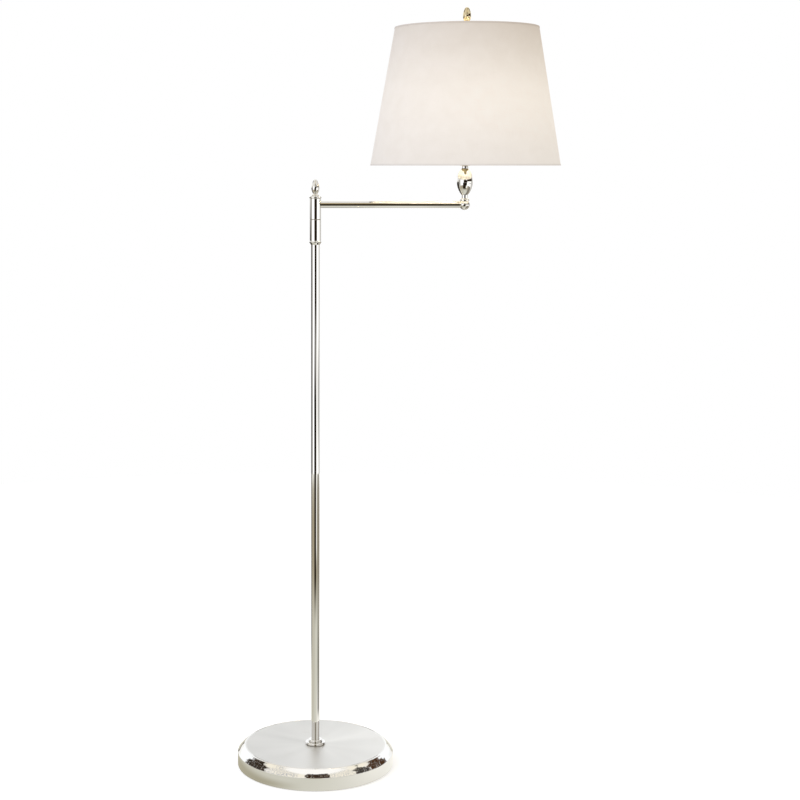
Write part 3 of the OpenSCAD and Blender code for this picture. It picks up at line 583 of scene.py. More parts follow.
@effect("Lines", position=None, fineness=2500.0)
def polish_lines(tree, position, fineness):
    """Fine lines that the buffing wheel leaves round a turned piece."""
    radius, angle, height = turned_place(position)
    across = joined(radius * fineness, height * fineness, maths("SINE", angle) * 1.5)
    return noise(across, 1.0, 3.0, 0.7)


@effect("Shade", position=None, fans=2.5)
def painted_reflection_fans(tree, position, fans):
    """Painted fans of reflected light and shade round the middle of a spun face, darker at its left side."""
    radius, angle, _ = turned_place(position)
    circle = joined(maths("COSINE", angle) * fans, maths("SINE", angle) * fans, radius * 6.0)
    spread = (noise(circle, 1.0, 1.0, 0.4) - 0.5) * 1.4
    # Painted shade: the left side of the face is darker
    fan = 0.5 - maths("COSINE", angle) * 0.4
    return maths("MINIMUM", maths("MAXIMUM", fan + spread, 0.0), 1.0)


@effect("Haze", position=None, size=0.03, cover=0.5)
def handling_haze(tree, position, size, cover):
    """Soft patches that a cloth and fingers leave on a polished face."""
    edge = 0.75 - cover * 0.4
    return fade(noise(position, 1.0 / size, 4.0, 0.55, 0.4), edge, edge + 0.25)


@effect("Edge", width=0.0006)
def worn_edge(tree, width):
    """Where a piece has an outer edge, from how far a rounded surface would lean from the real one."""
    soft = signal(tree, "Bevel", {"Radius": width}, samples=4)
    real = signal(tree, "NewGeometry", out="Normal")
    return remap(vectors("DOT_PRODUCT", soft, real, out="Value"), 0.998, 0.93)


@effect("Tarnish and shade", reach=0.004)
def tarnish_and_corner_shade(tree, reach):
    """Where two pieces meet, and a cloth doesn't reach, found by ambient occlusion; the darkening laid there
    is painted shade, with some tarnished metal and dust.
    """
    return remap(signal(tree, "AmbientOcclusion", {"Distance": reach}, "AO", samples=6), 0.75, 0.15)


@effect("Colour", position=None, colour=(0.8, 0.8, 0.8, 1), size=0.08, amount=0.06)
def tint_drift(tree, position, colour, size, amount):
    """A finish's colour, drifting slightly warmer and cooler from place to place."""
    swing = (noise(position, 1.0 / size, 2.0) - 0.5) * amount
    return signal(tree, "HueSaturation", {
        "Hue": 0.5, "Saturation": swing * 6.0 + 1.0, "Value": swing + 1.0, "Color": colour})


@effect("Grain", "Specks", position=None, size=0.0005)
def fine_grain(tree, position, size):
    """Fine uneven grain, as on moulded plastic, card, cast iron or plating."""
    scale = 1.0 / size
    cells = signal(tree, "TexVoronoi", {"Vector": position, "Scale": scale}, "Distance")
    return noise(position, scale, 5.0, 0.6), fade(cells, 0.1, 0.4, 1.0, 0.0)


@effect("Threads", "Tone", "Slubs", flat=None, pitch=0.0005, slub=0.5)
def woven_cloth(tree, flat, pitch, slub):
    """Plain weave with slubs. Threads is the height, Tone the yarn's own shade, Slubs its thick places."""
    x, y, _ = axes(flat)
    per_metre = 1.0 / pitch
    stray = (noise(flat, 90.0, 2.0) - 0.5) * 1.6
    warp = maths("SINE", (x * per_metre + stray) * math.pi)
    weft = maths("SINE", (y * per_metre + stray) * math.pi)
    # Warp and weft change places at each crossing
    side = fade(warp * weft, -0.15, 0.15)
    height = maths("ABSOLUTE", warp) * side + maths("ABSOLUTE", weft) * (1.0 - side)
    # A slub is one thick stretch of a thread, so its noise is long one way and a thread wide the other
    slubs = [fade(noise(vectors("MULTIPLY", flat, stretch), 1.0, 1.0), 0.62, 0.78)
             for stretch in ((40.0, 900.0, 1.0), (900.0, 40.0, 1.0))]
    thick = maths("MAXIMUM", *slubs) * slub
    return height + thick, noise(flat, 35.0, 4.0), thick


@effect("Glow", position=None, bulb=BULB_PLACE, radius=0.156)
def bulb_glow(tree, position, bulb, radius):
    """How much of the bulb's light reaches a place on the shade that faces its axis, 1 level with it."""
    away = vectors("SUBTRACT", position, bulb)
    x, y, _ = axes(away)
    level = vectors("LENGTH", joined(x, y, 0.0), out="Value")
    far = vectors("LENGTH", away, out="Value")
    return level * (radius * radius) / maths("POWER", far, 3.0)


@effect("Card", azimuth=0.0, elevation=0.0, centre_azimuth=0.0, centre_elevation=0.0,
        half_width=10.0, half_height=10.0, softness=2.0)
def studio_card(tree, azimuth, elevation, centre_azimuth, centre_elevation, half_width, half_height, soft):
    """A soft-edged card in the studio, as seen in a direction. Angles are in degrees."""
    aside = maths("WRAP", azimuth - centre_azimuth, 180.0, -180.0)
    above = elevation - centre_elevation
    beside, over = (fade(maths("ABSOLUTE", offset) - reach, soft * -1.0, soft, 1.0, 0.0)
                    for offset, reach in ((aside, half_width), (above, half_height)))
    return beside * over


# ---------------- materials


def new_material(name):
    """A material with an empty tree: itself, its tree and its Principled shader."""
    material = bpy.data.materials.new(name)
    if material.name != name:
        raise RuntimeError(f"there is already a material named {name}")
    material.use_nodes = True
    tree = material.node_tree
    tree.nodes.clear()
    shader = node(tree, "BsdfPrincipled")
    output = node(tree, "OutputMaterial", [Signal(tree, shader.outputs[0])])
    output.is_active_output = True
    return material, tree, shader


def recipe(build):
    """Turns a function that gives a Principled shader's inputs into one that makes each material once."""

    @wraps(build)
    def make(name, *values, **settings):
        if name in bpy.data.materials:
            return bpy.data.materials[name]
        material, tree, shader = new_material(name)
        for socket, value in build(tree, *values, **settings).items():
            feed(shader.inputs[socket], value)
        arrange(tree)
        return material

    return make


def centred(tree, axis=POLE_AXIS, along="Z"):
    """Object coordinates with the turned piece's axis as Z."""
    moved = signal(tree, "Mapping", {"Vector": own_place(tree), "Location": tuple(-v for v in axis)})
    if along == "Z":
        return moved
    return signal(tree, "Mapping", {"Vector": moved, "Rotation": (0, -math.pi / 2, 0)})


@recipe
def nickel_plate(tree, axis=POLE_AXIS, along="Z", rough=0.015, wedges=0.0, tint=(1, 1, 1)):
    """Buffed nickel plate: lines round the piece, haze, brighter edges, and its corners darkened brown as
    painted shade and tarnished plate.
    """
    place = centred(tree, axis, along)
    plate = (*(a * b for a, b in zip(bpy.context.scene.lamp_finishes.nickel, tint)), 1)
    tone = tint_drift(tree, place, plate, size=0.07, amount=0.05)
    lines = polish_lines(tree, place, fineness=2200.0)
    haze = handling_haze(tree, place, size=0.035, cover=0.5)
    # Corners found by ambient occlusion darken brown: painted shade, with tarnished plate
    tarnish_and_shade = tarnish_and_corner_shade(tree, reach=0.003)
    # The fans paint reflected light and shade into the plate's colour, darker at the left
    if wedges:
        tone = blend(painted_reflection_fans(tree, place, fans=1.6) * wedges, tone, toned(plate, 0.78))
    tone = layered(tone, (worn_edge(tree, width=0.0005) * 0.35, (0.88, 0.85, 0.80)),
                   (tarnish_and_shade * 0.55, (0.30, 0.25, 0.18)))
    dull = haze * (0.03 + rough * 0.15) + lines * 0.02 + rough + tarnish_and_shade * 0.15
    if wedges:
        # Seen low down, in the foot of the pole, the satin mirrors the room almost as the polish does
        dull = dull * remap(ray(tree, "Glossy"), 0.0, 1.0, 1.0, 0.12)
    return {"Base Color": tone, "Roughness": dull, "Normal": bump(lines, 0.0000001), "Metallic": 1.0}


@recipe
def worked_metal(tree, colour, rough, lines, haze, axis=HEAD_AXIS, grain=0.0, dark=(0.12, 0.08, 0.05)):
    """A plain or plated metal part: turning lines or cast grain, duller patches, and painted shade with some
    dirt in its corners.
    """
    place = centred(tree, axis)
    turned = polish_lines(tree, place, fineness=3200.0)
    patches = handling_haze(tree, place, size=0.012, cover=0.6)
    cast, specks = fine_grain(tree, place, size=0.0012)
    # The last layer darkens the corners found by ambient occlusion: painted shade, with some dirt there
    tone = layered(tint_drift(tree, place, (*colour, 1), size=0.015, amount=0.16),
                   (patches * 0.18, toned(colour, 0.7)), (specks * (grain * 0.5), toned(colour, 0.6)),
                   (worn_edge(tree, width=0.0004) * 0.4, toned(colour, 1.25)),
                   (tarnish_and_corner_shade(tree, reach=0.002) * 0.6, dark))
    return {"Base Color": tone, "Roughness": patches * haze + turned * 0.1 + rough,
            "Normal": bump(turned * lines + cast * grain, 0.00006), "Metallic": 1.0}


@recipe
def moulded(tree, colour, rough, size=0.0004, depth=0.00003, variation=0.12, coat=0.0):
    """Plastic, phenolic, card or enamel: grain, a drifting tone, scuffed edges, and painted shade with some
    dust in its corners.
    """
    place = centred(tree, HEAD_AXIS)
    grain, specks = fine_grain(tree, place, size=size)
    # The last layer darkens the corners found by ambient occlusion: painted shade, with some dust there
    tone = layered(tint_drift(tree, place, (*colour, 1), size=0.01, amount=variation),
                   (specks * variation, toned(colour, 0.75)),
                   (worn_edge(tree, width=0.0004) * 0.3, toned(colour, 1.4, 0.02)),
                   (tarnish_and_corner_shade(tree, reach=0.002) * 0.25, (0.24, 0.22, 0.19)))
    return {"Base Color": tone, "Roughness": grain * 0.2 + rough, "Normal": bump(grain, depth),
            "Coat Weight": coat}


@recipe
def lit_linen(tree, evenly, through):
    """Linen lit from behind: its weave, slubs and yarn tone, and the bulb's light coming through it.
    evenly is the light that comes through all over, and through what is added level with the bulb."""
    scene = bpy.context.scene
    colour = tuple(scene.lamp_finishes.linen)
    threads, yarn, slubs = woven_cloth(tree, own_cloth(tree), pitch=scene.lamp_shapes.weave, slub=0.6)
    red, green, blue = colour
    tone = layered(colour, (remap(yarn, 0.3, 0.7), (red * 0.955, green * 0.945, blue * 0.93)),
                   (remap(threads, 0.0, 1.0, 0.16, 0.0), toned(colour, 0.6)),
                   (slubs * 0.12, (0.62, 0.56, 0.47)))
    # Thick yarn lets less through, and the gaps between threads more
    passing = remap(threads, 0.0, 1.0, 1.08, 0.96) - slubs * 0.16
    place = own_place(tree)
    # The filament sits a little off the bulb's middle
    near = bulb_glow(tree, place, bulb=(HEAD_X + 12 * MM, -14 * MM, BULB_Z - 4 * MM))
    # The lower part of the shade also passes light from the pale floor, more of it at the right
    floor_light, left_share, right_share = 0.138, 0.8, 1.45
    x, _, z = axes(place)
    from_floor = (remap(z, *span("shade_panel"), floor_light, 0.0)
                  * remap(x, *span("shade_panel", "x"), left_share, right_share))
    light = vectors("ADD", lamplight(tuple(scene.lamp_finishes.glow), (near * through + evenly) * passing),
                    lamplight((0.76, 0.86, 0.96), from_floor * passing))
    return {"Base Color": tone, "Normal": bump(threads, 0.00009, 0.7), "Roughness": 0.85,
            "Emission Color": light, "Emission Strength": 1.0, "Sheen Weight": 0.08,
            "Sheen Roughness": 0.5, "Specular IOR Level": 0.2}


@recipe
def shade_lining(tree):
    """The pale stiff lining that the linen is laid on, lit by the bulb."""
    place = own_place(tree)
    lining = (*bpy.context.scene.lamp_finishes.lining, 1)
    grain, _ = fine_grain(tree, place, size=0.0009)
    slubs = woven_cloth(tree, own_cloth(tree), pitch=0.0006, slub=0.5)[2]
    # Polished metal mirrors the lining as bright as a bare lit lamp shows it
    share = remap(ray(tree, "Glossy"), 0.0, 1.0, 0.04, 0.62)
    seen = (bulb_glow(tree, place) * share + 0.02) * (1.03 - slubs * 0.25)
    return {"Base Color": tint_drift(tree, place, lining, size=0.05, amount=0.05),
            "Roughness": grain * 0.2 + 0.35, "Normal": bump(grain, 0.00002),
            "Emission Color": lamplight((1.0, 0.92, 0.74), seen), "Emission Strength": 1.0}


@recipe
def pressed_felt(tree):
    """Pressed wool felt: matted fibres, lighter lint and a soft sheen."""
    colour = tuple(bpy.context.scene.lamp_finishes.felt)
    place = own_place(tree)
    fibres = noise(place, 900.0, 6.0, 0.75, 1.5)
    mats = handling_haze(tree, place, size=0.01, cover=0.7)
    lint = remap(noise(place, 400.0, 2.0, distortion=3.0), 0.66, 0.74)
    tone = layered(toned(colour, 0.55), (fibres, toned(colour, 1.6)), (mats * 0.3, toned(colour, 1.9)),
                   (lint * 0.5, (0.22, 0.21, 0.20)))
    return {"Base Color": tone, "Roughness": 1.0, "Normal": bump(fibres, 0.0006),
            "Sheen Weight": 0.4, "Sheen Roughness": 0.6}


@recipe
def glass(tree, colour, rough, transmission, lit=0.0):
    """Glass: clear for the stem, frosted inside and lit for the bulb, with fine streaks from drawing it."""
    place = centred(tree, HEAD_AXIS)
    frost, _ = fine_grain(tree, place, size=0.0006)
    haze = handling_haze(tree, place, size=0.02, cover=0.5)
    found = {"Base Color": blend(haze * 0.3, colour, toned(colour, 0.92)), "Roughness": frost * 0.1 + rough,
             "Transmission Weight": transmission, "IOR": 1.5}
    if lit:
        # Brightest level with the filament, and dimmer down the neck
        body = fade(axes(own_place(tree))[2], low("bulb_glass", "z"), BULB_Z, 0.35, 1.0)
        shine = body * remap(frost, 0.2, 0.8, 0.94, 1.04)
        found.update({"Emission Color": lamplight((1.0, 0.90, 0.74), shine), "Emission Strength": lit})
    return found


def slot_material(slot):
    """The material of one of the record's slots: its maker, its name and what the maker asks for."""
    finishes = bpy.context.scene.lamp_finishes
    recipes = {
        "polished_nickel": (nickel_plate, "polished_nickel_head", HEAD_AXIS),
        "linen": (lit_linen, "shade_linen", 0.022, 0.222),
        "linen_hem": (lit_linen, "hem_linen", 0.01, 0.06),
        "felt": (pressed_felt, "pressed_felt"),
        "cast_iron": (worked_metal, "cast_iron_weight", (0.10, 0.10, 0.105), 0.55, 0.2, 0.2,
                      POLE_AXIS, 6.0, (0.09, 0.04, 0.02)),
        "zinc_steel": (worked_metal, "zinc_plated_steel", (0.56, 0.58, 0.60), 0.28, 0.5, 0.12, POLE_AXIS),
        "brass": (worked_metal, "lacquered_brass", tuple(finishes.brass), 0.25, 0.3, 0.1),
        "bronze": (worked_metal, "bush_bronze", (0.44, 0.27, 0.13), 0.32, 0.6, 0.1, POLE_AXIS, 1.5),
        "black_plastic": (moulded, "moulded_black_plastic", (0.018, 0.018, 0.019), 0.28),
        "card_liner": (moulded, "pressed_card", (0.46, 0.33, 0.20), 0.7, 0.0012, 0.00008, 0.25),
        "phenolic": (moulded, "moulded_phenolic", (0.035, 0.024, 0.019), 0.3, 0.0008, 0.00003, 0.3, 0.2),
        "screw_shell": (worked_metal, "rolled_screw_shell", (0.72, 0.55, 0.30), 0.24, 0.8, 0.1),
        "solder": (worked_metal, "soft_solder", (0.50, 0.50, 0.50), 0.4, 0.2, 0.15, HEAD_AXIS, 2.0),
        "black_glass": (moulded, "fused_black_glass", (0.012, 0.011, 0.014), 0.06, 0.002, 0.00002, 0.2),
        "bulb_metal": (worked_metal, "rolled_bulb_cap", (0.74, 0.72, 0.66), 0.26, 0.7, 0.12),
        "bulb_glass": (glass, "frosted_bulb_glass", (0.93, 0.92, 0.89), 0.35, 0.5, finishes.bulb),
        "clear_glass": (glass, "drawn_clear_glass", (0.97, 0.98, 0.97), 0.02, 1.0),
        "tungsten": (worked_metal, "drawn_tungsten", (0.45, 0.43, 0.41), 0.35, 1.2, 0.1),
        "shade_wire": (moulded, "enamelled_wire", (0.74, 0.73, 0.69), 0.3, 0.0006, 0.00004, 0.06, 0.2),
        "lead_jacket": (moulded, "lead_insulation", (0.45, 0.40, 0.31), 0.35, 0.0005, 0.00003, 0.1),
    }
    if slot not in recipes:
        raise RuntimeError(f"there is no finish for the slot {slot}")
    maker, *values = recipes[slot]
    return maker(*values)


# ---------------- operators


class LAMP_OT_base(Operator):
    """Spins the base cover, its flange and collar, and lays the felt under it"""

    bl_idname = "lamp.base"
    bl_label = "Base"

    def execute(self, context):
        shapes = context.scene.lamp_shapes
        nickel = nickel_plate("polished_nickel_base")
        # The satin top has painted fans of reflected light and shade in its colour
        satin = nickel_plate("satin_nickel_top", rough=0.42, wedges=0.9)
        outer, (foot, top) = half("base_cover"), span("base_cover")
        # The band climbs at 45 degrees from the wall to the flat top
        wall_top, bend, bore = 26 * MM, 1.6 * MM, 5.05 * MM
        shoulder = outer - (top - wall_top) - 0.2 * MM
        skin = 1.2 * MM
        lean = skin * math.tan(math.radians(22.5))
        band = bowed((outer - bend, wall_top + bend), (shoulder + bend, top - bend), shapes.band_bow)
        outside = rounded([(outer - skin, foot), (outer, foot, shapes.edge),
                           (outer, wall_top, shapes.crease), band[0]], closed=False)
        # A fine turned line where the flat top begins
        line_r, line_w, line_d, line_edge = shoulder - 2.2 * MM, 1.0 * MM, 0.5 * MM, 0.15 * MM
        over = rounded([
            band[-1], (shoulder, top, shapes.shoulder), (line_r, top, line_edge),
            (line_r - line_w / 2, top - line_d, line_edge), (line_r - line_w, top, line_edge),
            (bore, top)], closed=False)
        inside = [(bore, top - skin), (shoulder - lean, top - skin), (outer - skin, wall_top - lean)]
        cover = turn("base_cover_spun", [*outside, *band[1:-1], *over, *inside], steps=shapes.steps_wide)
        # The cord's bushing laps over its hole by its rim
        bushing_rim = 2.25 * MM
        drill(cover, 2 * (half("cord_bushing", "x") - bushing_rim), 40 * MM,
              (0, outer, middle("cord_bushing", "z")), (math.pi / 2, 0, 0), sides=64)
        dress(cover, "stand", "polished_nickel", nickel, satin, replaces=["base_cover"])
        for part in cover.data.polygons:
            part.material_index = int(part.normal.z > 0.9999 and part.center.z > top - 0.1 * MM)

        for name, hole, low_edge in (("foot_flange", 5 * MM, 1.6 * MM), ("foot_collar", POLE_BORE, 0.4 * MM)):
            plated(name, "turned", ring_path(name, hole, low_edge, 1.6 * MM), nickel, POLE_AXIS, "stand")

        thick, wide = high("base_felt", "z"), half("base_felt")
        pad = turn("base_felt_pad", rounded([
            (0, 0), (wide, 0, 0.9 * MM), (wide, thick, 0.5 * MM), (0, thick)], closed=False),
            closed=False, steps=shapes.steps_wide)
        dress(pad, "stand", "felt", slot_material("felt"), replaces=["base_felt"])
        return {"FINISHED"}


class LAMP_OT_pole(Operator):
    """Turns the pole, its collar, the swinging sleeve and its capped finial"""

    bl_idname = "lamp.pole"
    bl_label = "Pole and swivel"

    def execute(self, context):
        edge = context.scene.lamp_shapes.edge
        nickel = nickel_plate("polished_nickel_pole")
        plated("pole_tube", "drawn", ring_path("pole_tube", half("pole_tube") - TUBE_WALL, edge, edge),
               nickel, POLE_AXIS, "stand")

        (z, top), waist = span("lower_collar"), half("swing_sleeve")
        bead_r, bead_out, bead_top = 2.5 * MM, half("lower_collar") - waist, z + 7.2 * MM
        meet = math.acos(1 - bead_out / bead_r)
        bead = arc(waist + bead_out - bead_r, bead_top - bead_r * math.sin(meet), bead_r,
                   -45, math.degrees(meet), 14)
        neck = rounded([(waist, bead_top), (waist, top, edge), (POLE_BORE, top)], closed=False)
        plated("lower_collar", "turned", [
            (POLE_BORE, z), (POLE_BORE + 0.4 * MM, z), *bead, (waist, bead_top + HOLD), *neck[1:]],
            nickel, POLE_AXIS, "stand")

        plated("swing_sleeve", "drawn", ring_path("swing_sleeve", 9 * MM, edge, edge), nickel, POLE_AXIS)

        (z, top), foot, rim = span("sleeve_cap"), high("swing_sleeve", "z"), half("sleeve_cap")
        rim_r, spigot, stud, neck = 1.6 * MM, 8.95 * MM, 2 * MM, FINIAL["neck"]
        under = arc(rim - rim_r, foot + rim_r, rim_r, -90, 0, 10)
        over = arc(rim - rim_r, foot + 2.5 * MM, rim_r, 0, 62)
        # A shallow hollow sweeps up to the finial's neck
        hollow = bowed(over[-1], (neck, top), -0.35 * MM, 8)
        plated("sleeve_cap", "turned", [
            (stud, z), (spigot, z), (spigot, foot), *under, *over, *hollow, (neck, top), (stud, top)],
            nickel, POLE_AXIS)

        sunk = top - 1 * MM
        plated("pole_finial", "turned", [(0, sunk), (neck - 0.6 * MM, sunk), *egg_path(top, **FINIAL)],
               nickel, POLE_AXIS, closed=False)
        return {"FINISHED"}


class LAMP_OT_arm(Operator):
    """Turns the arm, its end ball and the stack that carries the lampholder"""

    bl_idname = "lamp.arm"
    bl_label = "Arm and egg"

    def execute(self, context):
        edge = context.scene.lamp_shapes.edge
        nickel = nickel_plate("polished_nickel_head", HEAD_AXIS)
        r, start, stop = half("arm_tube"), 9.3 * MM, high("arm_tube", "x")
        plated("arm_tube", "drawn", rounded([
            (r - TUBE_WALL, start), (r, start), (r, stop, edge), (r - TUBE_WALL, stop)]),
            nickel_plate("polished_nickel_arm", ARM_AXIS, "X"), ARM_AXIS, along="X")

        ball_r, flat = half("arm_end_ball"), high("arm_end_ball", "z")
        up = math.degrees(math.asin((flat - ARM_Z) / ball_r))
        plated("arm_end_ball", "turned", [
            (0, ARM_Z - ball_r), *arc(0, ARM_Z, ball_r, -88, up, 44), (0, flat)], nickel, closed=False)

        def thread_on(name, low_edge, top_edge):
            """A ring of the stack, which the threaded nipple runs through."""
            plated(name, "turned", ring_path(name, THREAD_R, low_edge, top_edge), nickel)

        thread_on("ball_disc", 0.8 * MM, 1.6 * MM)
        thread_on("stem_ring", edge, edge)
        (z0, z1), wide = span("egg_body"), half("egg_body")
        foot, neck, rise, steps = 6.2 * MM, 6.0 * MM, 24.4 * MM, 30
        low_r = ((wide - foot) ** 2 + rise ** 2) / (2 * (wide - foot))
        side = arc(wide - low_r, z0 + rise, low_r, -math.degrees(math.asin(rise / low_r)), 0, 24)
        # The shoulder is part of an ellipse that ends at the neck
        dome = (z1 - z0 - rise) / math.sqrt(1 - (neck / wide) ** 2)
        over = [(wide * math.cos(a), z0 + rise + dome * math.sin(a))
                for a in (math.acos(neck / wide) * i / steps for i in range(1, steps + 1))]
        plated("egg_body", "spun", [(THREAD_R, z0), *side, *over, (THREAD_R, z1)], nickel, steps=128)
        thread_on("neck_ring", 0.8 * MM, 0.8 * MM)
        return {"FINISHED"}


class LAMP_OT_shade(Operator):
    """Makes the linen shade with its seam and hems, and the finial that holds it down"""

    bl_idname = "lamp.shade"
    bl_label = "Shade"

    def execute(self, context):
        shapes = context.scene.lamp_shapes
        steps = shapes.steps_wide
        bottom, top = low("shade_hem_bottom", "z"), high("shade_hem_top", "z")
        wide, narrow = half("shade_hem_bottom"), half("shade_hem_top")
        hem_h = high("shade_hem_bottom", "z") - bottom
        # The top hem's widest place is its lower edge, so the slope comes from both hems' heights
        slope = (wide - narrow) / (top - hem_h - bottom)
        tape, panel, lap = 0.5 * MM, 1.0 * MM, 0.02 * MM

        def face(z, depth=0.0):
            """Radius of the shade's outer face at a height, less a depth."""
            return wide - (z - bottom) * slope - depth

        z0, z1 = bottom + tape, top - tape
        run = [z0 + (z1 - z0) * i / 12 for i in range(13)]
        shell = turn("shade_panel_cloth", [
            *((face(z, tape), z) for z in run), *((face(z, tape + panel), z) for z in reversed(run))],
            HEAD_AXIS, steps=steps)

        # The cone's cloth as it lies when it is cut flat, round the cone's own tip
        lean = math.atan2(face(z0) - face(z1), z1 - z0)

        def lay_flat(angle, z):
            far = (face(z0, tape) + (z0 - z) * math.tan(lean)) / math.sin(lean)
            return far * math.sin(angle * math.sin(lean)), -far * math.cos(angle * math.sin(lean))

        unwrap(shell, lay_flat)
        dress(shell, "swing_arm", "linen", slot_material("linen"), shade_lining("shade_lining"),
              replaces=["shade_panel"])
        for part in shell.data.polygons:
            outward = part.normal.x * (part.center.x - HEAD_X) + part.normal.y * part.center.y
            part.material_index = 0 if outward > 0 or abs(part.normal.z) > 0.9 else 1

        def rolled_hem(name, edge_z, inward, start, stop):
            """Linen tape over the panel's edge, round the wire ring inside it and back to the panel."""

            def at(distance, depth=0.0):
                """A point that far from the edge and that deep in the shade's face."""
                z = edge_z + inward * distance
                return face(z, depth), z

            wire = 1.5 * MM
            ring_z = edge_z + inward * (tape + wire)
            ring_r = face(ring_z, tape + panel) - wire
            piece = turn(f"{name}_rolled", [
                at(hem_h, tape - lap), at(hem_h, 0.08 * MM), at(hem_h - 0.2 * MM), at(0.5 * MM),
                (face(edge_z, 0.15 * MM), edge_z + inward * 0.12 * MM), at(0, 0.5 * MM),
                *arc(ring_r, ring_z, wire + tape - lap, start, stop, 18),
                *arc(ring_r, ring_z, wire + 0.03 * MM, stop, start, 18),
                (face(edge_z, tape - lap), edge_z + inward * (tape - lap))], HEAD_AXIS, steps=steps)
            unwrap(piece, lambda angle, z: (angle * face(edge_z), z))
            return dress(piece, "swing_arm", "linen_hem", slot_material("linen_hem"), replaces=[name])

        upper = rolled_hem("shade_hem_top", top, -1, 90, 285)
        lower = rolled_hem("shade_hem_bottom", bottom, 1, 270, 75)

        # The strip over the seam, at the back, is turned from the right side and then swung round
        proud, gap, centre_r = 0.1 * MM, 0.1 * MM, face((z0 + z1) / 2)
        spread = shapes.seam_width / centre_r
        low_z, high_z = bottom + hem_h + gap, top - hem_h - gap
        seam = turn("shade_seam_strip", [
            (face(low_z, proud), low_z), (face(high_z, proud), high_z),
            (face(high_z, tape + proud), high_z), (face(low_z, tape + proud), low_z)],
            HEAD_AXIS, steps=8, sweep=math.degrees(spread))
        bpy.ops.object.mode_set(mode="EDIT")
        bpy.ops.mesh.select_all(action="SELECT")
        bpy.ops.transform.rotate(value=spread / 2 - math.pi / 2, orient_axis="Z", center_override=HEAD_AXIS)
        bpy.ops.object.mode_set(mode="OBJECT")
        unwrap(seam, lambda angle, z: (angle * centre_r, z))
        # Two thicknesses of linen let less light through
        dress(seam, "swing_arm", "linen", lit_linen("seam_linen", 0.0, 0.13))

        # The flat cloth is part of a ring round the cone's tip
        far, near = face(z0, tape) / math.sin(lean), face(z1, tape) / math.sin(lean)
        half_turn = math.pi * math.sin(lean)
        flat_w, flat_l = 2 * far * math.sin(half_turn), far - near * math.cos(half_turn)
        half_turn * (far * far - near * near)

        z, foot, foot_r, cove = low("shade_finial", "z"), 7 * MM, 1.25 * MM, 1.25 * MM
        neck, neck_top = FINIAL["neck"], z + 11 * MM
        # This finial's plate is tinted warm: a painted reflection of the lit shade's warm light
        plated("shade_finial", "turned", [
            (0, z), *arc(foot - foot_r, z + foot_r, foot_r, -90, 90, 12),
            *arc(neck + cove, z + 2 * foot_r + cove, cove, -90, -180), (neck, neck_top - 0.3 * MM),
            *egg_path(neck_top, **FINIAL)],
            nickel_plate("polished_nickel_warmed", HEAD_AXIS, tint=(0.86, 0.74, 0.50)), closed=False)
        return {"FINISHED"}


